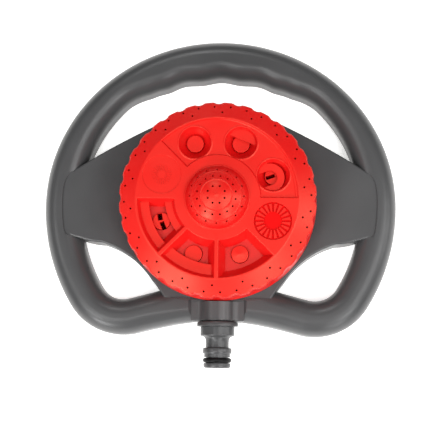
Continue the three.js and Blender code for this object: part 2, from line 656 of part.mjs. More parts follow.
const nozzleShapes = {
  mist_nozzle: { sector: 0, core: () => nozzleCore().subtract(slot(2.1, 5.4, 19, -1.7, -0.4)) },
  half_circle_nozzle: { sector: 1, core: () => nozzleCore() },
  full_circle_nozzle: { sector: 2, core: () => nozzleCore() },
  twin_jet_nozzle: {
    sector: 4,
    core: () => cut(nozzleCore(), slot(2.8, 4, 99, -0.9, 2.4), slot(2.6, 5, 112, 1, -2.7)),
  },
  quarter_circle_nozzle: { sector: 5, core: () => nozzleCore() },
  cone_nozzle: { sector: 6, core: coneNozzleCore },
};

// ---------------------------------------------------------------- assembly

const sprinkler = new THREE.Group();

function place(name, body, material, parent = sprinkler) {
  const mesh = new THREE.Mesh(geometryOf(body), material);
  mesh.name = name;
  parent.add(mesh);
  return mesh;
}

place('base_frame', baseFrame(), greyPlastic);
place('hub_cover', hubCover(), greyPlastic);
coverScrewPlaces().forEach((spot, i) => {
  place(`cover_screw_${i + 1}`, coverScrew(), steel).position.set(spot.x, spot.y, 0);
});

place('hose_connector', hoseConnector(), greyPlastic);
place('connector_o_ring', ringAlongInlet(6.5 + GAP, 8.35, -93.3, -90.55), rubber);
place('connector_washer', ringAlongInlet(4.6, 6.9, -61.9, -60.4), rubber);
place('inlet_duct', inletDuct(), blackPlastic);
const portSpring = spring(5.4, 0.5, TOWER_FLOOR + GAP, SEAL_BOTTOM - GAP, 4, PORT.x, PORT.y);
place('port_spring', portSpring, steel);
place('port_seal', portSeal(), rubber);

place('pivot_washer', tube(6.8, 4.2, 7.9, 8.7, 16), steel);
place('bearing_ring', tube(40, 36, PLATE_Z + GAP, DIAL_BOTTOM - GAP, 40), whitePlastic);
const detentSpring = spring(1.7, 0.3, COVER_THICKNESS + GAP, DETENT_PIN_BOTTOM - GAP, 6, 0, DETENT_RADIUS);
place('detent_spring', detentSpring, steel);
place('detent_pin', detentPin(), whitePlastic);

const dial = new THREE.Group();
sprinkler.add(dial);
place('dial_shell', dialShell(), redPlastic, dial);
place('dial_seal', dialSeal(), rubber, dial);
place('distributor_plate', distributorPlate(), blackPlastic, dial);
place('pivot_screw', pivotScrew(), steel, dial);
dialScrewPlaces().forEach((spot, i) => {
  place(`dial_screw_${i + 1}`, dialScrew(), steel, dial).position.set(spot.x, spot.y, 0);
});
for (const [name, { sector, core }] of Object.entries(nozzleShapes)) {
  const spot = nozzlePlace(sector);
  place(name, core(), redPlastic, dial).position.set(spot.x, spot.y, 0);
}

export default sprinkler;
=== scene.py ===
"""Turret sprinkler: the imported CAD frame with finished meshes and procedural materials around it.

Lengths below are in millimetres unless they say otherwise, in the frame of the CAD part: +Z up along the
dial's axis, the hose connector along -Y. They become metres where a mesh is made.
"""

import json
import math

import bmesh
import bpy
import numpy as np
from mathutils import Matrix, Vector


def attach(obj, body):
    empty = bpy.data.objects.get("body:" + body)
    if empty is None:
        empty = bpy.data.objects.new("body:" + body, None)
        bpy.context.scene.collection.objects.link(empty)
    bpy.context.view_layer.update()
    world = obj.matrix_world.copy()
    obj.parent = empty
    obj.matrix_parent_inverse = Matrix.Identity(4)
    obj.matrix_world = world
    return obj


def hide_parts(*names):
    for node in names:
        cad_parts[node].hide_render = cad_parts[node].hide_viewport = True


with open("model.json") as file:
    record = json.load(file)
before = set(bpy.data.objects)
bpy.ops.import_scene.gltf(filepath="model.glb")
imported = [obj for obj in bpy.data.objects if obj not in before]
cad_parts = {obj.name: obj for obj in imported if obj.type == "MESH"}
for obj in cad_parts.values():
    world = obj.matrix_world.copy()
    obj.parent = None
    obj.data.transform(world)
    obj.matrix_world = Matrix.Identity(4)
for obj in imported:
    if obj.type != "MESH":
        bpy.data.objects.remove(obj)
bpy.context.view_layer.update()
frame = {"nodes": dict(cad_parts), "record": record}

MM = 0.001
FINE = 2          # how finely curves are divided
SHARP_ANGLE = math.radians(32)
SAME_POINT = 1e-6                       # metres
NO_AREA = 1e-13                         # square metres

# ---------------------------------------------------------------- materials


def new_material(name, color, roughness, specular=0.5):
    """A principled material and its node tree. Constants sit on the shader's own sockets."""
    material = bpy.data.materials.new(name)
    material.use_nodes = True
    tree = material.node_tree
    shader = tree.nodes["Principled BSDF"]
    shader.inputs["Base Color"].default_value = (*color, 1)
    shader.inputs["Roughness"].default_value = roughness
    shader.inputs["Specular IOR Level"].default_value = specular
    return material, tree, shader


def add_node(tree, kind, **values):
    """A node with its inputs set by name, and its properties set where no input has that name."""
    node = tree.nodes.new(kind)
    for key, value in values.items():
        if key in node.inputs:
            node.inputs[key].default_value = value
        else:
            setattr(node, key, value)
    return node


def object_noise(tree, scale, detail):
    """Noise in the object's own coordinates, so it rides with the piece."""
    place = tree.nodes.get("Place") or add_node(tree, "ShaderNodeTexCoord", name="Place")
    noise = add_node(tree, "ShaderNodeTexNoise", Scale=scale, Detail=detail, Roughness=0.5)
    tree.links.new(place.outputs["Object"], noise.inputs["Vector"])
    return noise.outputs["Fac"]


def between(tree, source, low, high, start=0.3, end=0.7):
    """Maps a value that runs from start to end onto low to high."""
    node = add_node(tree, "ShaderNodeMapRange")
    for key, value in (("From Min", start), ("From Max", end), ("To Min", low), ("To Max", high)):
        node.inputs[key].default_value = value
    tree.links.new(source, node.inputs["Value"])
    return node.outputs["Result"]


# sockets of a Mix node that mixes colours: they share their names with its other sockets
MIX_FACTOR = 0
MIX_FIRST = 6
MIX_SECOND = 7
MIX_RESULT = 2


def colour_mix(tree, source, dark, light):
    """A colour between two, by a value from 0 to 1."""
    node = add_node(tree, "ShaderNodeMix", data_type="RGBA")
    node.inputs[MIX_FIRST].default_value = (*dark, 1)
    node.inputs[MIX_SECOND].default_value = (*light, 1)
    tree.links.new(source, node.inputs[MIX_FACTOR])
    return node.outputs[MIX_RESULT]


def bump(tree, shader, layers):
    """Stacks bump layers of (height source, strength, distance in metres) onto the shader's normal."""
    previous = None
    for source, strength, distance in layers:
        node = add_node(tree, "ShaderNodeBump", Strength=strength, Distance=distance)
        tree.links.new(source, node.inputs["Height"])
        if previous is not None:
            tree.links.new(previous.outputs["Normal"], node.inputs["Normal"])
        previous = node
    tree.links.new(previous.outputs["Normal"], shader.inputs["Normal"])


RED_DARK = (0.60, 0.0030, 0.004)
RED_LIGHT = (0.65, 0.0040, 0.005)
# painted shade: the pockets' floors get a darker, pinker red that stands in for the shade of the recess
RED_POCKET_SHADE = (0.56, 0.006, 0.012)         # floors of the pockets
RED_GLOSS = (1.0, 1.0, 0.64)            # warm tint of the red plastic's highlights
GREY_DARK = (0.048, 0.048, 0.049)
GREY_LIGHT = (0.058, 0.058, 0.059)
BLACK_DARK = (0.012, 0.012, 0.013)
BLACK_LIGHT = (0.018, 0.018, 0.02)
WHITE_DARK = (0.7, 0.68, 0.62)
WHITE_LIGHT = (0.76, 0.74, 0.69)
RUBBER_DARK = (0.004, 0.004, 0.004)
RUBBER_LIGHT = (0.008, 0.008, 0.008)
STEEL_PLAIN = (0.62, 0.62, 0.63)
STEEL_DARK = (0.5, 0.5, 0.51)
STEEL_LIGHT = (0.7, 0.7, 0.7)

FLOW_SCALE = 22                         # slow marks where the melt ran together
FLOW_SHARE = 0.7                        # of the colour's variation, the rest is specks
FLOW_DEPTH = 0.00006                    # depths of bumps are in metres
SPECK_SCALE = 1400
GLOSS_SCALE = 60
GRAIN_DEPTH = 0.00002
ETCHED_SPECULAR = 0.05


def satin_and_shade_areas(tree, shader, base, specular):
    """The gloss fades where the mesh marks an etched area, and painted shade darkens the colour on a
    pocket's floor.
    """
    etched = add_node(tree, "ShaderNodeAttribute", attribute_name="etched").outputs["Fac"]
    floor_shade_mask = add_node(tree, "ShaderNodeAttribute", attribute_name="pocket_floor").outputs["Fac"]
    gloss = between(tree, etched, specular, ETCHED_SPECULAR, 0, 1)
    tree.links.new(gloss, shader.inputs["Specular IOR Level"])
    # painted shade: the colour on a pocket's floor is mixed towards a darker, pinker red
    floor_shaded = add_node(tree, "ShaderNodeMix", data_type="RGBA")
    floor_shaded.inputs[MIX_SECOND].default_value = (*RED_POCKET_SHADE, 1)
    tree.links.new(floor_shade_mask, floor_shaded.inputs[MIX_FACTOR])
    tree.links.new(base, floor_shaded.inputs[MIX_FIRST])
    return floor_shaded.outputs[MIX_RESULT]


def moulded_plastic(name, dark, light, roughness, grain, grain_depth=GRAIN_DEPTH, specular=0.5, tint=None):
    """Injection-moulded plastic: a spark-eroded grain, slow flow marks in the colour, uneven gloss."""
    material, tree, shader = new_material(name, light, roughness[1], specular)
    flow = object_noise(tree, FLOW_SCALE, 4)
    speck = object_noise(tree, SPECK_SCALE, 2)
    blend = add_node(tree, "ShaderNodeMath", operation="ADD")
    tree.links.new(between(tree, flow, 0, FLOW_SHARE), blend.inputs[0])
    tree.links.new(between(tree, speck, 0, 1 - FLOW_SHARE), blend.inputs[1])
    base = colour_mix(tree, blend.outputs[0], dark, light)
    if tint is not None:
        shader.inputs["Specular Tint"].default_value = (*tint, 1)
        base = satin_and_shade_areas(tree, shader, base, specular)
    tree.links.new(base, shader.inputs["Base Color"])
    gloss = between(tree, object_noise(tree, GLOSS_SCALE, 3), *roughness)
    tree.links.new(gloss, shader.inputs["Roughness"])
    bump(tree, shader, [(object_noise(tree, grain, 3), 0.5, grain_depth), (flow, 0.3, FLOW_DEPTH)])
    return material


def brushed_steel():
    material, tree, shader = new_material("steel", STEEL_PLAIN, 0.3)
    shader.inputs["Metallic"].default_value = 1
    gloss = between(tree, object_noise(tree, 300, 3), 0.2, 0.4)
    tree.links.new(gloss, shader.inputs["Roughness"])
    tint = colour_mix(tree, between(tree, object_noise(tree, 90, 3), 0, 1), STEEL_DARK, STEEL_LIGHT)
    tree.links.new(tint, shader.inputs["Base Color"])
    bump(tree, shader, [(object_noise(tree, 2500, 2), 0.2, GRAIN_DEPTH)])
    return material


materials = {
    "red_plastic": moulded_plastic("red_plastic", RED_DARK, RED_LIGHT, (0.37, 0.44), 2600,
                                   specular=0.42, tint=RED_GLOSS),
    "grey_plastic": moulded_plastic("grey_plastic", GREY_DARK, GREY_LIGHT, (0.3, 0.37), 1900, specular=0.38),
    "black_plastic": moulded_plastic("black_plastic", BLACK_DARK, BLACK_LIGHT, (0.5, 0.6), 2000),
    "white_plastic": moulded_plastic("white_plastic", WHITE_DARK, WHITE_LIGHT, (0.35, 0.45), 2400,
                                     grain_depth=GRAIN_DEPTH / 2),
    "rubber": moulded_plastic("rubber", RUBBER_DARK, RUBBER_LIGHT, (0.4, 0.5), 3000, specular=0.12),
    "steel": brushed_steel(),
}

# ---------------------------------------------------------------- meshes


def new_object(name, vertices, faces):
    """An object from points in millimetres."""
    mesh = bpy.data.meshes.new(name)
    mesh.from_pydata((np.asarray(vertices, float) * MM).tolist(), [], faces)
    obj = bpy.data.objects.new(name, mesh)
    bpy.context.scene.collection.objects.link(obj)
    return obj


def tidy(obj):
    """Merges points that coincide, and turns every face outward."""
    mesh = bmesh.new()
    mesh.from_mesh(obj.data)
    bmesh.ops.remove_doubles(mesh, verts=mesh.verts, dist=SAME_POINT)
    bmesh.ops.recalc_face_normals(mesh, faces=mesh.faces)
    mesh.to_mesh(obj.data)
    mesh.free()
    return obj


def grid(name, points, wrap_rows):
    """A skin over points in rows and columns. Columns close on themselves, rows only if asked."""
    rows, columns = points.shape[:2]
    faces = []
    for i in range(rows if wrap_rows else rows - 1):
        a, b = i * columns, ((i + 1) % rows) * columns
        faces += [(a + j, a + (j + 1) % columns, b + (j + 1) % columns, b + j) for j in range(columns)]
    if not wrap_rows:
        faces += [tuple(range(columns)), tuple(range((rows - 1) * columns, rows * columns))]
    return tidy(new_object(name, points.reshape(-1, 3), faces))


def loft(name, outline, rows):
    """A closed body from an outline that takes an inset, and a list of (inset, z)."""
    rings = []
    for inset, z in rows:
        points = outline(inset)
        rings.append(np.column_stack([points, np.full(len(points), z)]))
    return grid(name, np.array(rings), False)


def turned(name, profile, segments, radius_of=None):
    """A body of revolution about Z from a closed list of (radius, z), or from one that ends on the axis."""
    angles = np.arange(segments) * 2 * math.pi / segments
    rows = []
    for radius, z in profile:
        radii = np.full(segments, float(radius)) if radius_of is None else radius_of(radius, z, angles)
        rows.append(np.column_stack([radii * np.cos(angles), radii * np.sin(angles), np.full(segments, z)]))
    if profile[0][0] == 0 and profile[-1][0] == 0:
        return drop_caps(grid(name, np.array(rows), False))
    return grid(name, np.array(rows), True)


def tube(name, inner, outer, z0, z1, segments):
    return turned(name, [(inner, z0), (outer, z0), (outer, z1), (inner, z1)], segments)


def drop_caps(obj):
    """Removes the faces without area that closed a row of coinciding points."""
    mesh = bmesh.new()
    mesh.from_mesh(obj.data)
    empty = [face for face in mesh.faces if face.calc_area() < NO_AREA]
    bmesh.ops.delete(mesh, geom=empty, context="FACES_ONLY")
    mesh.to_mesh(obj.data)
    mesh.free()
    return obj


def polar(radius, degrees):
    return radius * math.cos(math.radians(degrees)), radius * math.sin(math.radians(degrees))


def arc(cx, cz, radius, start, end, steps):
    """Points on an arc of a profile, angles in degrees."""
    return [(cx + radius * math.cos(math.radians(a)), cz + radius * math.sin(math.radians(a)))
            for a in np.linspace(start, end, steps + 1)]


def moved(obj, x=0.0, y=0.0, z=0.0, turn=None):
    """Turns and then moves the mesh itself, by degrees about Z or by a matrix, and millimetres."""
    matrix = Matrix.Translation(Vector((x, y, z)) * MM)
    if isinstance(turn, Matrix):
        matrix = matrix @ turn
    elif turn is not None:
        matrix = matrix @ Matrix.Rotation(math.radians(turn), 4, "Z")
    obj.data.transform(matrix)
    return obj


def merged(name, objects):
    """One object from several that don't touch."""
    mesh = bmesh.new()
    for obj in objects:
        mesh.from_mesh(obj.data)
        bpy.data.objects.remove(obj)
    result = new_object(name, [], [])
    mesh.to_mesh(result.data)
    mesh.free()
    return result


def baked(obj):
    """Applies the modifiers to the mesh."""
    graph = bpy.context.evaluated_depsgraph_get()
    mesh = bpy.data.meshes.new_from_object(obj.evaluated_get(graph))
    obj.modifiers.clear()
    obj.data = mesh
    return obj


def combine(obj, operation, *tools):
    """Joins the tools to the object, or cuts them from it. The tools are used up."""
    for tool in tools:
        modifier = obj.modifiers.new("combine", "BOOLEAN")
        modifier.operation = operation
        modifier.solver = "MANIFOLD"
        modifier.object = tool
        baked(obj)
        bpy.data.objects.remove(tool)
    return obj


def join(obj, *tools):
    return combine(obj, "UNION", *tools)


def cut(obj, *tools):
    return combine(obj, "DIFFERENCE", *tools)


def smooth(obj):
    """Smooth shading that stays flat on flat faces and crisp on sharp edges."""
    mesh = obj.data
    mesh.polygons.foreach_set("use_smooth", [True] * len(mesh.polygons))
    mesh.set_sharp_from_angle(angle=SHARP_ANGLE)
    weighted = obj.modifiers.new("weighted", "WEIGHTED_NORMAL")
    weighted.mode = "FACE_AREA"
    weighted.keep_sharp = True
    return baked(obj)


def stands_for(obj, body, slot, *nodes):
    """Gives a finished piece its material and its body, and hides the CAD nodes that it stands for."""
    obj.data.materials.clear()
    obj.data.materials.append(materials[slot])
    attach(obj, body)
    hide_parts(*nodes)
    return obj


# ---------------------------------------------------------------- base outlines

RIM_HALF_WIDTH = 105.2
RIM_TOP_Y = 100.9
RIM_BAND = 21.1
SIDE_CENTRE_X = -9
LOBE_CENTRE = (57, -41)
LOBE_END = -105
NECK_FACE_Y = -69.2
NECK_HALF_WIDTH = 14
NECK_BEND = (30, NECK_FACE_Y - 2.3)     # where the rim's outer edge bends towards the neck
BOTTOM_BAR_INNER_Y = -49.8
BOTTOM_BAR_END = (30, BOTTOM_BAR_INNER_Y)
BOTTOM_BAR_BEND = (41, BOTTOM_BAR_INNER_Y - 3)
CROWN_Z = 20.8
CROWN_SPRING_Z = 9.8                    # where the rim's upright sides start to round over
CROWN_REACH = 9.5
RIM_FOOT = 0.5                          # small bevel at the ground
WALL = 2.4
GRIP_RADIUS = 77.9
GRIP_WAVE = 0.58
GRIP_SWELL = 1.3
GRIP_PITCH = 16.9                       # degrees, like the next three
GRIP_END = 25
GRIP_FADE = 8
GRIP_BLEND_END = 44
PLATE_Z = 20
HUB_RADIUS = 59.3

SIDE_RADIUS = RIM_HALF_WIDTH - SIDE_CENTRE_X
LOBE_OFFSET = math.hypot(LOBE_CENTRE[0] - SIDE_CENTRE_X, LOBE_CENTRE[1])
LOBE_RADIUS = SIDE_RADIUS - LOBE_OFFSET
LOBE_START = math.degrees(math.atan2(LOBE_CENTRE[1], LOBE_CENTRE[0] - SIDE_CENTRE_X))


MIRROR = np.array([-1, 1])              # turns points of the right half into those of the left


def circle_points(cx, cy, radius, start, end, count):
    angles = np.radians(np.linspace(start, end, count))
    return np.column_stack([cx + radius * np.cos(angles), cy + radius * np.sin(angles)])


def quadratic(start, control, end, count):
    t = np.linspace(0, 1, count)[:, None]
    start, control, end = np.array(start), np.array(control), np.array(end)
    return (1 - t) ** 2 * start + 2 * t * (1 - t) * control + t ** 2 * end


def smoothstep(value, low, high):
    t = np.clip((value - low) / (high - low), 0, 1)
    return t * t * (3 - 2 * t)


def grip_radius(from_top):
    """Inner radius of the rim's top, with its finger waves, by degrees from the top."""
    blend = smoothstep(from_top, GRIP_END - 3, GRIP_BLEND_END)
    fade = 1 - smoothstep(from_top, GRIP_END, GRIP_END + GRIP_FADE)
    wave = GRIP_WAVE * fade * np.cos(np.radians(from_top * 360 / GRIP_PITCH))
    swell = GRIP_SWELL * (from_top / GRIP_END) ** 2 * fade
    plain = RIM_HALF_WIDTH - RIM_BAND
    return GRIP_RADIUS + swell + (plain - GRIP_RADIUS - swell) * blend + wave


def rim_stations():
    """Matching points of the rim's outer and inner outlines, all the way round."""
    top_count, side_count, lobe_count, bend_count, straight_count = (
        70 * FINE, 12 * FINE, 24 * FINE, 10 * FINE, 5)
    from_top = np.linspace(0, 90, top_count)
    angle = np.radians(90 - from_top)
    outer = [np.column_stack([RIM_HALF_WIDTH * np.cos(angle), RIM_TOP_Y * np.sin(angle)])]
    radius = grip_radius(from_top)
    inner = [np.column_stack([radius * np.cos(angle), radius * np.sin(angle)])]
    for path, drop in ((outer, 0), (inner, RIM_BAND)):
        path.append(circle_points(SIDE_CENTRE_X, 0, SIDE_RADIUS - drop, 0, LOBE_START, side_count)[1:])
        path.append(circle_points(*LOBE_CENTRE, LOBE_RADIUS - drop, LOBE_START, LOBE_END, lobe_count)[1:])
    neck_corner = (NECK_HALF_WIDTH, NECK_FACE_Y)
    outer.append(quadratic(outer[-1][-1], NECK_BEND, neck_corner, bend_count)[1:])
    inner.append(quadratic(inner[-1][-1], BOTTOM_BAR_BEND, BOTTOM_BAR_END, bend_count)[1:])
    outer.append(np.linspace(neck_corner, (0, NECK_FACE_Y), straight_count)[1:])
    inner.append(np.linspace(BOTTOM_BAR_END, (0, BOTTOM_BAR_INNER_Y), straight_count)[1:])
    halves = [np.concatenate(outer), np.concatenate(inner)]
    return [np.concatenate([half, half[-2:0:-1] * MIRROR]) for half in halves]


def crown_section(inset, top, steps):
    """Half a section across the rim as (distance in from the edge, z): a wall and a quarter ellipse."""
    reach = CROWN_REACH - inset
    rise = top - CROWN_SPRING_Z
    foot = RIM_FOOT if inset == 0 else 0
    bottom = 0 if inset == 0 else -1
    side = [(inset + foot, bottom), (inset, bottom + foot), (inset, (bottom + CROWN_SPRING_Z) / 2)]
    for angle in np.radians(np.linspace(0, 90, steps)):
        side.append((inset + reach * (1 - math.cos(angle)), CROWN_SPRING_Z + rise * math.sin(angle)))
    return side


def rim_body(name, inset, top, steps):
    """The rim's solid shape, or its hollow where there is an inset."""
    outer, inner = rim_stations()
    across = inner - outer
    width = np.linalg.norm(across, axis=1)[:, None]
    direction = across / width
    rows = []
    section = crown_section(inset, top, steps)
    for distance, z in section:
        rows.append(np.column_stack([outer + direction * distance, np.full(len(outer), z)]))
    for distance, z in reversed(section):
        rows.append(np.column_stack([inner - direction * distance, np.full(len(outer), z)]))
    return grid(name, np.array(rows), True)


def plate_outline():
    """Outline of the hub with both spokes, from the top clockwise."""
    fine = 8 * FINE
    half = [
        circle_points(0, 0, HUB_RADIUS, 90, 65.6, fine),
        quadratic((24.5, 54.0), (59.3, 38.3), (88, 19.4), 2 * fine)[1:],
        quadratic((88, 19.4), (92.4, 15.8), (93.1, 8), fine)[1:],
        quadratic((93.1, 8), (93.9, -2), (92.4, -13), fine)[1:],
        quadratic((92.4, -13), (91.9, -17.4), (90.6, -18.9), fine)[1:],
        quadratic((90.6, -18.9), (88.5, -19.4), (82.4, -21), fine)[1:],
        quadratic((82.4, -21), (76, -23.2), (69.2, -23.5), fine)[1:],
        circle_points(85.7, -77.8, 56.8, 107, 146.3, 3 * fine)[1:],
        quadratic((38.4, -46.3), (34.6, -50.6), (31.5, -56), fine)[1:],
    ]
    right = np.concatenate(half)
    return np.concatenate([right, right[:0:-1] * MIRROR])


def inset_outline(points):
    """A function that moves a clockwise outline inward along its normals by a distance."""
    ahead = np.roll(points, -1, 0) - points
    behind = points - np.roll(points, 1, 0)
    ahead /= np.linalg.norm(ahead, axis=1)[:, None]
    behind /= np.linalg.norm(behind, axis=1)[:, None]
    normal = np.column_stack([(ahead + behind)[:, 1], -(ahead + behind)[:, 0]])
    normal /= np.linalg.norm(normal, axis=1)[:, None]
    mitre = 1 / np.clip(normal[:, 0] * ahead[:, 1] - normal[:, 1] * ahead[:, 0], 0.5, 1)
    return lambda distance: points + normal * (distance * mitre)[:, None]


def rounded_top(top, radius, steps):
    """Rows of (inset, z) that round an upper edge."""
    return [(radius * (1 - math.cos(a)), top - radius + radius * math.sin(a))
            for a in np.radians(np.linspace(0, 90, steps + 1))]


# ---------------------------------------------------------------- base

along_y = Matrix.Rotation(math.radians(90), 4, "X")     # turns +Z to -Y
INLET_Z = 15
NECK_RADIUS = 10.5
NECK_BORE = 7.3
NECK_BACK_Y = -57.85                    # just outside the dial's flange
NECK_BORE_Y = -59.1                     # where the plug's bore ends
NECK_WALL_Y = -58.6
SHOULDER_REACH = 15.6                   # half width of the inlet's shoulders
SHOULDER_Z = 19.1
NECK_FILLET = 5.5                       # where the round back meets the shoulders
ROOM_REACH = 17.4                       # half width of the room for the neck in the rim's crown
ROOM_FLOOR_REACH = 15.4
ROOM_FLOOR_Z = 18.9
ROOM_SLOPE_Z = 21.2                     # top of the room's sloping sides
DUCT_Z = 11.9
DUCT_PASSAGE = 5.6
DUCT_PASSAGE_Y = (-46, -63)
PORT = polar(26.2, -67.5)
PORT_HOLE = 6.8
COVER_SCREW_PLACES = [polar(44, 10 + 60 * i) for i in range(6)]
COVER_SCREW_PILOT = 1.7
COVER_SCREW_DEPTH = 13
BOSS_RADIUS = 4
BOSS_FOOT = 2.9                         # just above the hub's cover
BOSS_TOP = PLATE_Z - 1
HUB_WALL_INNER = 50.4
BUSH_RADIUS = 8
BUSH_FOOT = 9
PIVOT_BORE = 4.1
DETENT_DISTANCE = 44
DETENT_TUBE = 4.4
DETENT_BORE = 2.7


def rod(name, radius, z0, z1, x=0.0, y=0.0, segments=32, edge=0.0):
    """An upright round rod, its upper edge rounded where an edge radius is given."""
    rows = [(0, z0), (0, z1)] if edge == 0 else [(0, z0), *rounded_top(z1, edge, 3)]
    circle = circle_points(x, y, 1, 0, 360, segments + 1)[:-1] - (x, y)
    return loft(name, lambda inset: (x, y) + circle * (radius - inset), rows)


BLOCK_EDGE = 0.01


def box_body(name, x0, x1, y0, y1, z0, z1):
    """A block with its upright edges just broken."""
    r = BLOCK_EDGE
    corners = ((x1 - r, y1 - r, 0), (x0 + r, y1 - r, 90), (x0 + r, y0 + r, 180), (x1 - r, y0 + r, 270))
    outline = np.concatenate([circle_points(x, y, r, start, start + 90, 4) for x, y, start in corners])
    return loft(name, lambda inset: outline, [(0, z0), (0, z1)])


def inlet_rod(name, radius, y0, y1, z=INLET_Z):
    """A rod along the inlet from y0 out to y1."""
    return moved(rod(name, radius, -y0, -y1, segments=48), z=z, turn=along_y)


def neck():
    """The inlet's back, round on top, running out into low shoulders on both sides."""
    rise = SHOULDER_Z + NECK_FILLET - INLET_Z
    foot = math.sqrt((NECK_RADIUS + NECK_FILLET) ** 2 - rise ** 2)
    lean = math.degrees(math.atan2(rise, foot))
    back = arc(0, INLET_Z, NECK_RADIUS, 90, lean, 10 * FINE)
    fillet = arc(foot, SHOULDER_Z + NECK_FILLET, NECK_FILLET, 180 + lean, 270, 6 * FINE)[1:]
    right = np.concatenate([back, fillet, [(SHOULDER_REACH, SHOULDER_Z - 0.1), (SHOULDER_REACH, 0)]])
    section = inset_outline(np.concatenate([right, right[:0:-1] * MIRROR]))
    face = -NECK_FACE_Y
    rows = [(0, -NECK_BACK_Y), (0, face - 0.8), (0.12, face - 0.4), (0.4, face - 0.12), (0.8, face)]
    return moved(loft("neck", section, rows), turn=along_y)


def neck_room():
    """Cutter that takes the rim's crown away where the neck crosses it."""
    above = CROWN_Z + 5
    right = np.array([(ROOM_REACH, above), (ROOM_REACH, ROOM_SLOPE_Z), (ROOM_FLOOR_REACH, ROOM_FLOOR_Z)])
    section = np.concatenate([right, right[::-1] * MIRROR])
    return moved(loft("neck_room", lambda inset: section, [(0, 57), (0, 80)]), turn=along_y)


def base_frame():
    plate = inset_outline(plate_outline())
    body = rim_body("base_frame_detailed", 0, CROWN_Z, 14)
    # the plate lies lower than the rim's crown, which ends beside it in a small step
    cut(body, loft("clear", plate, [(0, PLATE_Z - 0.001), (0, PLATE_Z + 0.15), (-0.35, CROWN_Z + 3)]))
    join(body, loft("plate", plate, [(0.4, 0), (0, 0.4), (0, 12), *rounded_top(PLATE_Z, 1.1, 5)]))
    cut(body, neck_room())
    join(body, neck())
    cut(body, rim_body("rim_hollow", WALL, CROWN_Z - WALL, 8))
    cut(body, loft("plate_hollow", plate, [(WALL, -1), (WALL, PLATE_Z - WALL)]))

    # tubes, bosses and a round wall under the hub
    bosses = [rod("boss", BOSS_RADIUS, BOSS_FOOT, BOSS_TOP, *place, 20) for place in COVER_SCREW_PLACES]
    join(body, merged("bosses", bosses), rod("bush", BUSH_RADIUS, BUSH_FOOT, BOSS_TOP))
    join(body, rod("detent_tube", DETENT_TUBE, BOSS_FOOT, BOSS_TOP, 0, DETENT_DISTANCE))
    join(body, tube("hub_wall", HUB_WALL_INNER, HUB_WALL_INNER + WALL, 0, BOSS_TOP, 96))
    join(body, inlet_rod("neck_inside", NECK_RADIUS - 0.3, NECK_WALL_Y, NECK_FACE_Y + 1))

    above = PLATE_Z + 3
    cut(body, inlet_rod("neck_bore", NECK_BORE, NECK_BORE_Y, NECK_FACE_Y - 5.8))
    cut(body, inlet_rod("passage", DUCT_PASSAGE, *DUCT_PASSAGE_Y, z=DUCT_Z))
    cut(body, rod("port_hole", PORT_HOLE, 15, above, *PORT), rod("pivot_bore", PIVOT_BORE, 0, above))
    cut(body, rod("detent_bore", DETENT_BORE, 0, above, 0, DETENT_DISTANCE))
    pilots = [rod("pilot", COVER_SCREW_PILOT, 0, COVER_SCREW_DEPTH, *place, 16)
              for place in COVER_SCREW_PLACES]
    cut(body, merged("pilots", pilots))
    return body


stands_for(smooth(base_frame()), "base", "grey_plastic", "base_frame")


# radius and distance out from the dial's axis
PLUG_SOCKET = [(4.5, 62.2), (7, 62.2), (7, 69.5)]
PLUG_FLANGE = [(11.2, 69.5), (11.6, 69.7), (12, 70.4), (12, 71.9), (11.9, 72.1), (11.6, 72.2)]
PLUG_COLLAR = [(9.7, 72.25), (9.95, 72.5), (9.95, 77.3), (9.75, 77.6), (9.4, 77.75)]
PLUG_NECK = [(8.5, 78.0), (7.6, 78.5), (7.05, 79.3), (6.78, 80.4), (6.75, 81.5), (6.75, 84.0), (6.85, 84.5),
             (7.2, 84.7)]
PLUG_RIDGE = [(7.9, 84.75), (8.3, 85.0), (8.45, 85.4), (8.47, 86.2), (8.47, 87.2), (8.35, 87.7),
              (8.1, 87.95)]
PLUG_GROOVE = [(7.75, 88.0), (7.65, 88.2), (7.65, 89.9), (7.5, 90.1), (6.5, 90.15), (6.5, 93.5)]
PLUG_TIP = [(7.6, 93.55), (7.85, 93.7), (8, 94.0), (8, 95.0), (7.85, 95.7), (7.5, 96.2), (7.0, 96.5),
            (6.6, 96.5), (5.0, 96.5), (4.7, 96.3), (4.5, 96.0)]
FLAT_DISTANCE = 9.55                    # the collar's four flats
FLAT_HALF_WIDTH = 4.2
FLAT_FROM = 73.0
FLAT_TO = 76.9
FLAT_ANGLES = (62, 118, 242, 298)
O_RING_PLACE = (6.98, 91.9)
O_RING_SECTION = 1.42


def connector():
    """Quick-connect plug with its flange, faceted collar, neck, ridge and O-ring groove."""
    profile = PLUG_SOCKET + PLUG_FLANGE + PLUG_COLLAR + PLUG_NECK + PLUG_RIDGE + PLUG_GROOVE + PLUG_TIP
    body = turned("hose_connector_detailed", profile, 48 * FINE)
    moved(body, z=INLET_Z, turn=along_y)
    for degrees in FLAT_ANGLES:
        flat = box_body("flat", FLAT_DISTANCE, 12, -FLAT_HALF_WIDTH, FLAT_HALF_WIDTH, FLAT_FROM, FLAT_TO)
        moved(flat, turn=degrees)
        cut(body, moved(flat, z=INLET_Z, turn=along_y))
    return body


stands_for(smooth(connector()), "base", "grey_plastic", "hose_connector")

o_ring = turned("connector_o_ring_detailed", arc(*O_RING_PLACE, O_RING_SECTION, 0, 345, 23), 48 * FINE)
stands_for(smooth(moved(o_ring, z=INLET_Z, turn=along_y)), "base", "rubber", "connector_o_ring")

# ---------------------------------------------------------------- dial

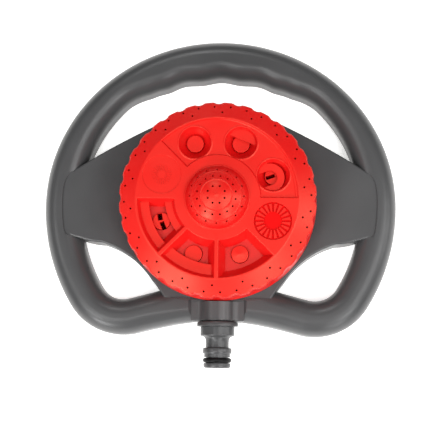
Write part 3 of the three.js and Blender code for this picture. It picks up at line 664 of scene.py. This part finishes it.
DIAL_RADIUS = 57.1
FLANGE_RADIUS = 57.5
DIAL_BOTTOM = 21.4
FACE_Z = 45
FACE_RADIUS = 46.9
CHAMFER_EDGE_Z = 39.5
CHAMFER_EDGE_RADIUS = 56.7
SCALLOPS = 32
SCALLOP_DEPTH = 0.95
SCALLOP_RADIUS = 4.6
SCALLOP_SOFTNESS = 0.12
SCALLOP_TAIL = 0.0012                   # depth that the softening would leave on a lobe
SCALLOP_START_Z = 23.8                  # the scoops grow from here up to their full depth
SCALLOP_FULL_Z = 28.5
DOME_RADIUS = 19
DOME_SPHERE = 21
DOME_HEIGHT = 11.55
DOME_BEADS = (9.0, 14.2)                # radii of two thin beads
BEAD_HEIGHT = 0.28
BEAD_WIDTH = 0.26
NUB_HEIGHT = 0.35
NUB_WIDTH = 0.55
DIAL_WALL = 2.4
SECTOR = 45
PANEL_SECTORS = (0, 1, 2)               # sectors counted from +X, anticlockwise
PLAIN_SECTOR = 3
TWIN_SECTOR = 4
QUARTER_SECTOR = 5
CONE_SECTOR = 6
SUN_SECTOR = 7
NOZZLE_DISTANCE = 34.6
NOZZLE_RADIUS = 4.95
NOZZLE_HOLE = 5.2
NOZZLE_TOP = 40.2
PANEL_Z = 44.1
PANEL_INNER = 24.7
PANEL_OUTER = 46.3
PANEL_STEP = 0.3                        # height of the shallow step in the panel's corner
PANEL_STEP_RADIUS = 45.7
PANEL_STEP_TOP_RADIUS = 46.1
PANEL_STEP_SHIFT = -1.3                 # the step's circle isn't centred on the dial
POCKET_FLOOR = 38.6
POCKET_UNDERSIDE = 36.6
POCKET_INNER = 24.6
POCKET_OUTER = 45.9
POCKET_DRAFT = 3.9
DISTRIBUTOR_TOP = 24
CHAMBER_FOOT = DISTRIBUTOR_TOP + 0.3
CHAMBER_RING = 20                       # inner radius of the wall round the dome's chamber
CHAMBER_WALL = 1.6
CHAMBER_SPOKE = (20.5, 53)              # the walls between the chambers run out from one radius to the other
CHAMBER_SPOKE_TOP = 41.2
WELL_BODY = 11
DIAL_SCREW_DISTANCE = 49.5
DIAL_SCREWS = 4
DIAL_BOSS = 2.8
DIAL_PILOT = 1.6
LEDGE_TOP = 42.2
LEDGE_BOTTOM = 40.5
LEDGE_RADIUS = 9.9
# sector, inner and outer radius
ARC_LEDGES = ((TWIN_SECTOR, 39.3, 44.6), (TWIN_SECTOR, 25.2, 30.1), (QUARTER_SECTOR, 38.2, 44.9))
HALF_LEDGE_OFFSET = 2.2
MIST_LEDGE_CENTRE = (30.2, 12.1)
MIST_LEDGE_RADIUS = 8.3
MIST_LEDGE_BOTTOM = 40.7
MIST_LEDGE_TOP = 42.5
MIST_WEB_EDGE = (31.2, 12.7)
MIST_NOTCH_CENTRE = (30.1, 11.9)
MIST_NOTCH_RADIUS = 4.25
MIST_ANGLE = 19
SPRAY_HOLE = 0.6
# count, first angle, distance from the axis, and the drop below the face or the rise above it
CHAMFER_HOLES = ((18, 7.5, 50.1, 1.9), (36, 2.5, 53.9, 3.9))
DOME_HOLES = ((16, 0, 15.7, 5.1), (16, 11.25, 11.1, 8.2), (8, 22.5, 5.15, 10.9))
SUN_RADIUS = 10.8
SUN_DEPTH = 0.95
SUN_RAYS = 20
FAINT_RAYS = 24
PLAIN_DISC_RADIUS = 11.15
PLAIN_DISC_DEPTH = 0.3


def nozzle_place(sector):
    return polar(NOZZLE_DISTANCE, (sector + 0.5) * SECTOR)


def scallop_depth(angles):
    """Depth of the scallops at each angle, softened where the scoop meets the lobe."""
    pitch = 2 * math.pi / SCALLOPS
    sideways = DIAL_RADIUS * ((angles + pitch / 2) % pitch - pitch / 2)
    curve = np.sqrt(np.maximum(SCALLOP_RADIUS ** 2 - sideways ** 2, 0.01))
    raw = curve - (SCALLOP_RADIUS - SCALLOP_DEPTH)
    return 0.5 * (raw + np.hypot(raw, SCALLOP_SOFTNESS)) - SCALLOP_TAIL


def dial_radii(radius, z, angles):
    """Radius of the dial's skin round the rim: the scoops stop above the flange."""
    if radius < FACE_RADIUS + 1 or z < DIAL_BOTTOM + 1:
        return np.full(len(angles), float(radius))
    strength = smoothstep(z, SCALLOP_START_Z, SCALLOP_FULL_Z)
    if z > CHAMFER_EDGE_Z - 0.6:
        share = (radius - FACE_RADIUS) / (CHAMFER_EDGE_RADIUS - FACE_RADIUS)
        strength = smoothstep(share, 0.86, 1.0)
    return radius - strength * np.maximum(scallop_depth(angles), 0)


def dome_profile():
    """Dome from the top down: three bands with a thin bead between them."""
    inner_bead, outer_bead = DOME_BEADS
    centre_z = FACE_Z + DOME_HEIGHT - DOME_SPHERE
    radii = np.concatenate([
        np.linspace(0, inner_bead - 0.6, 10),
        np.linspace(inner_bead - 0.45, inner_bead + 0.45, 7),
        np.linspace(inner_bead + 1, outer_bead - 0.6, 5),
        np.linspace(outer_bead - 0.45, outer_bead + 0.45, 7),
        np.linspace(outer_bead + 0.9, DOME_RADIUS - 0.8, 6),
    ])
    height = centre_z + np.sqrt(DOME_SPHERE ** 2 - radii ** 2)
    for bead in DOME_BEADS:
        height += BEAD_HEIGHT * np.exp(-((radii - bead) / BEAD_WIDTH) ** 2)
    height += NUB_HEIGHT * np.exp(-(radii / NUB_WIDTH) ** 2)
    height -= 0.012 * np.maximum(radii - outer_bead - 0.3, 0) ** 3         # the foot steepens
    return list(zip(radii.tolist(), height.tolist()))


def dial_blank():
    """The dial's turned shell with its scalloped side, open below."""
    inner = DIAL_RADIUS - DIAL_WALL
    under_face = FACE_Z - DIAL_WALL
    across, down = CHAMFER_EDGE_RADIUS - FACE_RADIUS, CHAMFER_EDGE_Z - FACE_Z
    chamfer = [(FACE_RADIUS + across * share, FACE_Z + down * share)
               for share in (0.05, 0.2, 0.4, 0.6, 0.8, 0.87, 0.92, 0.96)]
    edge = [(56.35, 39.68), (56.7, 39.42), (56.93, 39.05), (57.06, 38.5), (DIAL_RADIUS, 37.8)]
    side = [(DIAL_RADIUS, z) for z in (36, 34, 32, 30, 29, 28, 27, 26.2, 25.5)]
    flange = [(57.15, 24.9), (57.3, 24.3), (57.45, 23.9), (FLANGE_RADIUS, 23.4), (FLANGE_RADIUS, 22.0),
              (57.4, 21.6), (57.1, DIAL_BOTTOM)]
    profile = [
        *dome_profile(), (DOME_RADIUS - 0.25, FACE_Z + 0.35), (DOME_RADIUS, FACE_Z + 0.05),
        (DOME_RADIUS + 0.35, FACE_Z), (FACE_RADIUS - 0.35, FACE_Z), (FACE_RADIUS - 0.12, FACE_Z - 0.03),
        (FACE_RADIUS + 0.15, FACE_Z - 0.12),
        *chamfer, *edge, *side, *flange,
        (inner, DIAL_BOTTOM), (inner, 30), (inner, CHAMFER_EDGE_Z - 2), (FACE_RADIUS - 1, under_face),
        (16.6, under_face), (12.4, 47.6), (8, 51.9), (4, 53.4), (0, 53.8),
    ]
    return turned("dial_shell_detailed", profile, SCALLOPS * 6 * FINE, dial_radii)


def ring_sector(inner_radius, outer_radius, start, end, start_offset, end_offset, count=16 * FINE):
    """Outline of a ring sector by inset. Its sides run beside the rays at start and end."""

    def lag(offset, radius):
        return math.degrees(math.asin(offset / radius))

    def outline(inset):
        inner, outer = inner_radius + inset, outer_radius - inset
        first, second = start_offset + inset, end_offset + inset
        far = circle_points(0, 0, outer, start + lag(first, outer), end - lag(second, outer), count)
        near = circle_points(0, 0, inner, end - lag(second, inner), start + lag(first, inner), count)
        return np.concatenate([far, near])

    return outline


def recess_rows(floor, top, draft, edge):
    """Rows of a cutter: a floor, walls that lean out by the draft, a flare that rounds the upper edge."""
    lean = edge * 0.5 * draft / (top - floor)
    flare = [(lean - edge * (1 - math.cos(a)), top - edge + edge * math.sin(a))
             for a in np.radians((0, 30, 60, 90))]
    return [(draft, floor), *flare, (flare[-1][0], top + 2)]


def well_cutter(sector, top):
    """Conical well down to the nozzle's hole."""
    below = POCKET_UNDERSIDE - 1
    profile = [(0, below), (NOZZLE_HOLE, below), (NOZZLE_HOLE, POCKET_FLOOR - 0.2),
               (5.5, POCKET_FLOOR), (6.2, POCKET_FLOOR + 0.7), (7.3, 40.9), (8.5, 42.5), (9.1, top - 0.6),
               (9.25, top - 0.15), (9.4, top + 0.1), (9.6, top + 0.22), (9.6, top + 3), (0, top + 3)]
    return moved(turned("well", profile, 32 * FINE), *nozzle_place(sector))


def well_lip(sector):
    """Low rounded lip round a well's mouth."""
    profile = [(8.9, PANEL_Z - 0.5), (10.4, PANEL_Z - 0.5), (10.4, PANEL_Z), (10.2, PANEL_Z + 0.06),
               (10.0, PANEL_Z + 0.2), (9.8, PANEL_Z + 0.24), (9.4, PANEL_Z + 0.24), (8.9, PANEL_Z + 0.24)]
    return moved(turned("lip", profile, 32 * FINE), *nozzle_place(sector))


def places_round(rings):
    """Angle, distance and height of every place in rings of equal steps."""
    for count, start, distance, height in rings:
        for i in range(count):
            yield start + 360 * i / count, distance, height


def spray_holes():
    """Every hole of the dome and the chamfer as one cutter."""
    holes = []
    for degrees, distance, drop in places_round(CHAMFER_HOLES):
        holes.append(rod("hole", SPRAY_HOLE, FACE_Z - drop - 6, FACE_Z, *polar(distance, degrees), 12))
    for degrees, distance, rise in places_round(DOME_HOLES):
        # the holes stand up more steeply than the dome's own normal
        sideways = distance / DOME_SPHERE
        normal = Vector((*polar(sideways, degrees), 2 * math.sqrt(1 - sideways ** 2)))
        turn = Vector((0, 0, 1)).rotation_difference(normal).to_matrix().to_4x4()
        hole = rod("hole", SPRAY_HOLE, -5, 2.5, segments=12)
        holes.append(moved(hole, *polar(distance, degrees), FACE_Z + rise, turn))
    return merged("holes", holes)


def ray(inner, outer, inner_half, outer_half, rows):
    """A flat ray along X that widens outwards."""

    def outline(inset):
        return np.array([(inner + inset, inset - inner_half), (outer - inset, inset - outer_half),
                         (outer - inset, outer_half - inset), (inner + inset, inner_half - inset)])

    return loft("ray", outline, rows)


def sun_rays():
    """Raised rays in the round recess of the sun's sector."""
    rows = [(0, FACE_Z - 1.3), (0, FACE_Z - 0.3), (0.14, FACE_Z - 0.12)]
    x, y = nozzle_place(SUN_SECTOR)
    step = 360 / SUN_RAYS
    rays = [moved(ray(5.1, 10.05, 0.42, 1.02, rows), x, y, 0, (i + 0.5) * step) for i in range(SUN_RAYS)]
    return merged("rays", rays)


def faint_rays():
    """Cutters for the faint sun engraved in the plain sector."""
    rows = [(0.05, FACE_Z - 0.55), (0, FACE_Z - 0.25), (0, FACE_Z + 1)]
    x, y = nozzle_place(PLAIN_SECTOR)
    step = 360 / FAINT_RAYS
    rays = [moved(ray(2.3, 5.8, 0.12, 0.2, rows), x, y, 0, i * step) for i in range(FAINT_RAYS)]
    return merged("faint_rays", rays)


def disc_cutter(sector, radius, depth):
    """Cutter for a shallow round recess in the face."""
    place = nozzle_place(sector)
    circle = circle_points(0, 0, 1, 0, 360, 48 * FINE + 1)[:-1]
    rows = recess_rows(FACE_Z - depth, FACE_Z, 0, 0.15)
    return loft("disc", lambda inset: place + circle * (radius - inset), rows)


def nozzle_room(sector):
    """Cutter that keeps a ledge clear of the nozzle below it."""
    return rod("room", NOZZLE_HOLE, 35, NOZZLE_TOP + 0.3, *nozzle_place(sector), 48)


def mist_ledge():
    """C-shaped ledge that hangs over the mist nozzle, open towards the axis."""
    heights = (MIST_LEDGE_BOTTOM, MIST_LEDGE_TOP)
    ring = rod("ledge", MIST_LEDGE_RADIUS, *heights, *MIST_LEDGE_CENTRE, 32 * FINE, 0.3)
    web = rod("web", LEDGE_RADIUS, *heights, *nozzle_place(0), 32 * FINE)
    inner_side = box_body("keep", -12, 0, -12, 12, 40, 43)
    join(ring, combine(web, "INTERSECT", moved(inner_side, *MIST_WEB_EDGE, 0, MIST_ANGLE)))
    channel = box_body("channel", -14, 0, -MIST_NOTCH_RADIUS, MIST_NOTCH_RADIUS, 40, 44)
    cut(ring, moved(channel, *MIST_NOTCH_CENTRE, 0, MIST_ANGLE))
    return cut(ring, rod("notch", MIST_NOTCH_RADIUS, 40, 44, *MIST_NOTCH_CENTRE, 32), nozzle_room(0))


def half_ledge():
    """Half-disc ledge over the outer side of the half-circle nozzle."""
    place = nozzle_place(1)
    disc = rod("half", LEDGE_RADIUS, LEDGE_BOTTOM, LEDGE_TOP, *place, 32 * FINE)
    keep = box_body("keep", HALF_LEDGE_OFFSET, 14, -14, 14, 40, 44)
    combine(disc, "INTERSECT", moved(keep, *place, 0, 1.5 * SECTOR))
    return cut(disc, nozzle_room(1))


def arc_ledge(sector, inner, outer):
    """Curved ledge across a pocket, from one side wall to the other."""
    start = sector * SECTOR
    outline = ring_sector(inner, outer, start, start + SECTOR, 0.6, 0.6)
    ledge = loft("arc_ledge", outline, [(0, 39.4), *rounded_top(LEDGE_TOP, 0.25, 3)])
    return cut(ledge, nozzle_room(sector))


def add_chambers(body):
    """Adds walls down to the distributor, floors under the wells and pockets, and screw bosses."""
    ring_top = FACE_Z - 1.7
    join(body, tube("ring", CHAMBER_RING, CHAMBER_RING + CHAMBER_WALL, CHAMBER_FOOT, ring_top, 96))
    for i in range(8):
        half = CHAMBER_WALL / 2
        spoke = box_body("spoke", *CHAMBER_SPOKE, -half, half, CHAMBER_FOOT, CHAMBER_SPOKE_TOP)
        join(body, moved(spoke, turn=i * SECTOR))
    block_top = FACE_Z - 1.4
    join(body, *[rod("well_body", WELL_BODY, POCKET_UNDERSIDE, block_top, *nozzle_place(i), 48)
                 for i in PANEL_SECTORS])
    pockets = ring_sector(23, 46.4, TWIN_SECTOR * SECTOR - 1.5, SUN_SECTOR * SECTOR + 1.5, 0, 0, count=48)
    join(body, loft("pocket_bodies", pockets, [(0, POCKET_UNDERSIDE), (0, block_top)]))
    screws = [polar(DIAL_SCREW_DISTANCE, 90 * i) for i in range(DIAL_SCREWS)]
    join(body, merged("bosses", [rod("boss", DIAL_BOSS, CHAMBER_FOOT, 40, *place, 20) for place in screws]))
    cut(body, merged("pilots", [rod("pilot", DIAL_PILOT, 23, 36, *place, 12) for place in screws]))


def sink_panel(body):
    """Sunken panel round the three wells, with a second shallow step inside its outer corner."""
    panel = ring_sector(PANEL_INNER, PANEL_OUTER, 0, len(PANEL_SECTORS) * SECTOR, 0.1, 0.1, count=60)
    cut(body, loft("panel", panel, recess_rows(PANEL_Z + PANEL_STEP, FACE_Z, 0.35, 0.3)))
    step = loft("step", panel, recess_rows(PANEL_Z, FACE_Z, 0.5, 0.3))
    below, above = PANEL_Z - 1.1, FACE_Z + 3
    profile = [(0, below), (PANEL_STEP_RADIUS, below), (PANEL_STEP_RADIUS, PANEL_Z),
               (PANEL_STEP_TOP_RADIUS, PANEL_Z + PANEL_STEP), (PANEL_STEP_TOP_RADIUS, above), (0, above)]
    within = moved(turned("within", profile, 128 * FINE), PANEL_STEP_SHIFT)
    cut(body, combine(step, "INTERSECT", within))
    join(body, *[well_lip(i) for i in PANEL_SECTORS])
    cut(body, *[well_cutter(i, PANEL_Z + 0.1) for i in PANEL_SECTORS])


def sink_pockets(body):
    """Drafted pockets, each with its own hole for a nozzle."""
    side_offsets = {TWIN_SECTOR: (0.7, 1.1), QUARTER_SECTOR: (1.1, 1.1), CONE_SECTOR: (1.1, 0.3)}
    for sector, offsets in side_offsets.items():
        outline = ring_sector(POCKET_INNER, POCKET_OUTER, sector * SECTOR, (sector + 1) * SECTOR, *offsets)
        cut(body, loft("pocket", outline, recess_rows(POCKET_FLOOR, FACE_Z, POCKET_DRAFT, 0.45)))
        cut(body, rod("hole", NOZZLE_HOLE, 35, 40, *nozzle_place(sector), 48))


def dial_shell():
    body = dial_blank()
    add_chambers(body)
    sink_panel(body)
    sink_pockets(body)
    cut(body, disc_cutter(SUN_SECTOR, SUN_RADIUS, SUN_DEPTH))
    cut(body, disc_cutter(PLAIN_SECTOR, PLAIN_DISC_RADIUS, PLAIN_DISC_DEPTH))
    join(body, sun_rays())
    cut(body, faint_rays())
    join(body, mist_ledge(), half_ledge(), *[arc_ledge(*values) for values in ARC_LEDGES])
    return cut(body, spray_holes())


def mark(obj, name, test):
    """Stores 1 on the faces whose centre and normal pass the test, and 0 on the others."""
    attribute = obj.data.attributes.new(name, "FLOAT", "FACE")
    values = [float(test(face.center / MM, face.normal)) for face in obj.data.polygons]
    attribute.data.foreach_set("value", values)


def faces_up_at(centre, normal, z):
    return normal.z > 0.99 and abs(centre.z - z) < 0.05


def on_sun_floor(centre, normal):
    x, y = nozzle_place(SUN_SECTOR)
    inside = math.hypot(centre.x - x, centre.y - y) < SUN_RADIUS + 0.2
    return inside and faces_up_at(centre, normal, FACE_Z - SUN_DEPTH)


def on_pocket_floor(centre, normal):
    return faces_up_at(centre, normal, POCKET_FLOOR)


shell = smooth(dial_shell())
mark(shell, "etched", on_sun_floor)
# faces on the pockets' floors take the painted shade of the red plastic
mark(shell, "pocket_floor", on_pocket_floor)
stands_for(shell, "dial", "red_plastic", "dial_shell")


# node, sector, slots as (width, length, degrees, x, y) from the nozzle's centre, rows of a raised top
NOZZLES = (
    ("mist_nozzle", 0, [(2.1, 5.4, 19, -1.7, -0.4)], []),
    ("twin_jet_nozzle", TWIN_SECTOR, [(2.8, 4.0, 99, -0.9, 2.4), (2.6, 5.0, 112, 1.0, -2.7)], []),
    ("half_circle_nozzle", 1, [], []),
    ("full_circle_nozzle", 2, [], []),
    ("quarter_circle_nozzle", QUARTER_SECTOR, [], []),
    ("cone_nozzle", CONE_SECTOR, [], [(2.2, 0.15), (4.1, 0.55), (4.55, 0.62)]),
)


def nozzle(node, slots, raised):
    """A nozzle's core about the origin: a post with a rounded upper edge, slotted where it sprays a jet."""
    circle = circle_points(0, 0, 1, 0, 360, 24 * FINE + 1)[:-1]
    rows = [(0, CHAMBER_FOOT), *rounded_top(NOZZLE_TOP, 0.3, 3)]
    rows += [(inset, NOZZLE_TOP + rise) for inset, rise in raised]
    core = loft(node + "_detailed", lambda inset: circle * (NOZZLE_RADIUS - inset), rows)
    for width, length, degrees, x, y in slots:
        slot = box_body("slot", -length / 2, length / 2, -width / 2, width / 2, 26, FACE_Z)
        cut(core, moved(slot, x, y, 0, degrees))
    return core


for node, sector, slots, raised in NOZZLES:
    core = moved(nozzle(node, slots, raised), *nozzle_place(sector))
    stands_for(smooth(core), "dial", "red_plastic", node)

# ---------------------------------------------------------------- hidden seals


def rounded_ring(name, inner, outer, z0, z1, edge, segments):
    """A ring of soft rubber with every edge rounded."""
    corners = ((outer - edge, z0 + edge, -90), (outer - edge, z1 - edge, 0),
               (inner + edge, z1 - edge, 90), (inner + edge, z0 + edge, 180))
    profile = [point for x, z, start in corners for point in arc(x, z, edge, start, start + 90, 3)]
    return turned(name, profile, segments)


# inner and outer radius
PORT_SEAL = (3.5, 6.5)
PORT_SEAL_FOOT = 13.5
DIAL_SEAL = (52.6, 54.0)
CONNECTOR_WASHER = (4.6, 6.9)
CONNECTOR_WASHER_FROM = 60.4            # distance out from the dial's axis
SEAL_TOP = DIAL_BOTTOM - 0.3

port_seal = rounded_ring("port_seal_detailed", *PORT_SEAL, PORT_SEAL_FOOT, SEAL_TOP, 0.5, 24 * FINE)
stands_for(smooth(moved(port_seal, *PORT)), "port_seal", "rubber", "port_seal")
dial_seal = rounded_ring("dial_seal_detailed", *DIAL_SEAL, CHAMBER_FOOT, CHAMBER_FOOT + 0.8, 0.35, 96 * FINE)
stands_for(smooth(dial_seal), "dial", "rubber", "dial_seal")
washer_faces = (CONNECTOR_WASHER_FROM, CONNECTOR_WASHER_FROM + 1.5)
washer = rounded_ring("connector_washer_detailed", *CONNECTOR_WASHER, *washer_faces, 0.4, 24 * FINE)
stands_for(smooth(moved(washer, z=INLET_Z, turn=along_y)), "base", "rubber", "connector_washer")

# ---------------------------------------------------------------- carried-over CAD nodes

material_slots = {part["node"]: part["material_slot"] for part in frame["record"]["subparts"]}
for node, obj in frame["nodes"].items():
    if not obj.hide_render:
        obj.data.materials.clear()
        obj.data.materials.append(materials[material_slots[node]])
        obj.data.polygons.foreach_set("use_smooth", [True] * len(obj.data.polygons))
        obj.data.set_sharp_from_angle(angle=SHARP_ANGLE)

# ---------------------------------------------------------------- floor, light and camera


FLOOR_REACH = 4000
FLOOR_Z = -0.2
FLOOR_PLAIN = (0.93, 0.93, 0.925)
FLOOR_DARK = (0.92, 0.92, 0.915)
FLOOR_LIGHT = (0.94, 0.94, 0.935)
FLOOR_GLOW = (1, 0.99, 0.97, 1)
FLOOR_GLOW_STRENGTH = 0.62


def floor():
    """Pale ground that glows a little, like a lit backdrop."""
    material, tree, shader = new_material("floor", FLOOR_PLAIN, 0.6)
    tint = colour_mix(tree, between(tree, object_noise(tree, 8, 3), 0, 1), FLOOR_DARK, FLOOR_LIGHT)
    tree.links.new(tint, shader.inputs["Base Color"])
    shader.inputs["Emission Color"].default_value = FLOOR_GLOW
    shader.inputs["Emission Strength"].default_value = FLOOR_GLOW_STRENGTH
    corners = [(FLOOR_REACH * x, FLOOR_REACH * y, FLOOR_Z) for x, y in ((-1, -1), (1, -1), (1, 1), (-1, 1))]
    plane = new_object("floor", corners, [(0, 1, 2, 3)])
    plane.data.materials.append(material)


SOFTBOX_DISTANCE = 1.7                  # metres
SOFTBOX_SIZE = 0.6                      # metres
# name, elevation and azimuth in degrees, watts: a soft tent, stronger on the hose's side
SOFTBOXES = (
    ("low_front_left", 22, 240, 14.5),
    ("low_front_right", 22, 300, 7.5),
    ("low_right", 22, 0, 5.0),
    ("front_left", 48, 225, 8.5),
    ("front_right", 48, 315, 9.5),
    ("right", 48, 0, 6.6),
    ("back", 48, 100, 5.5),
    ("left", 48, 180, 3.2),
    ("high_left", 70, 225, 6.3),
    ("high_right", 70, 345, 5.5),
)


def softbox(name, elevation, azimuth, power):
    """A round area light that shines at the object from a direction."""
    light = bpy.data.lights.new(name, "AREA")
    light.shape = "DISK"
    light.size = SOFTBOX_SIZE
    light.energy = power
    lift = math.radians(elevation)
    place = Vector((*polar(SOFTBOX_DISTANCE * math.cos(lift), azimuth), SOFTBOX_DISTANCE * math.sin(lift)))
    obj = bpy.data.objects.new(name, light)
    obj.location = place
    obj.rotation_euler = (-place).to_track_quat("-Z", "Y").to_euler()
    bpy.context.scene.collection.objects.link(obj)


CAMERA_TILT = math.radians(7.89)        # towards the hose's side
CAMERA_YAW = math.radians(2.74)
CAMERA_ROLL = math.radians(0.85)
CAMERA_LENS = 92.75
CAMERA_DISTANCE = 0.6344                # metres, like the next three
CAMERA_SHIFT_X = 0.00056
CAMERA_SHIFT_Y = 0.01069
CAMERA_TARGET_Z = 0.0454


def camera():
    """The photograph's view: a long lens almost straight above, leaning a little to the hose's side."""
    sideways = math.cos(CAMERA_TILT)
    back = Vector((math.sin(CAMERA_YAW) * sideways, -math.sin(CAMERA_TILT), math.cos(CAMERA_YAW) * sideways))
    right = Vector((0, 1, 0)).cross(back).normalized()
    up = back.cross(right)
    across = math.cos(CAMERA_ROLL) * right + math.sin(CAMERA_ROLL) * up
    upward = -math.sin(CAMERA_ROLL) * right + math.cos(CAMERA_ROLL) * up
    target = Vector((0, 0, CAMERA_TARGET_Z)) - CAMERA_SHIFT_X * across - CAMERA_SHIFT_Y * upward
    place = target + CAMERA_DISTANCE * back
    lens = bpy.data.cameras.new("camera")
    lens.lens = CAMERA_LENS
    obj = bpy.data.objects.new("camera", lens)
    obj.matrix_world = Matrix.Translation(place) @ Matrix((across, upward, back)).transposed().to_4x4()
    bpy.context.scene.collection.objects.link(obj)
    bpy.context.scene.camera = obj


floor()
for softbox_values in SOFTBOXES:
    softbox(*softbox_values)
camera()
world = bpy.data.worlds.new("studio")
world.use_nodes = True
background = world.node_tree.nodes["Background"]
background.inputs["Color"].default_value = (1, 1, 1, 1)
background.inputs["Strength"].default_value = 0.02
bpy.context.scene.world = world
bpy.context.scene.view_settings.view_transform = "Standard"
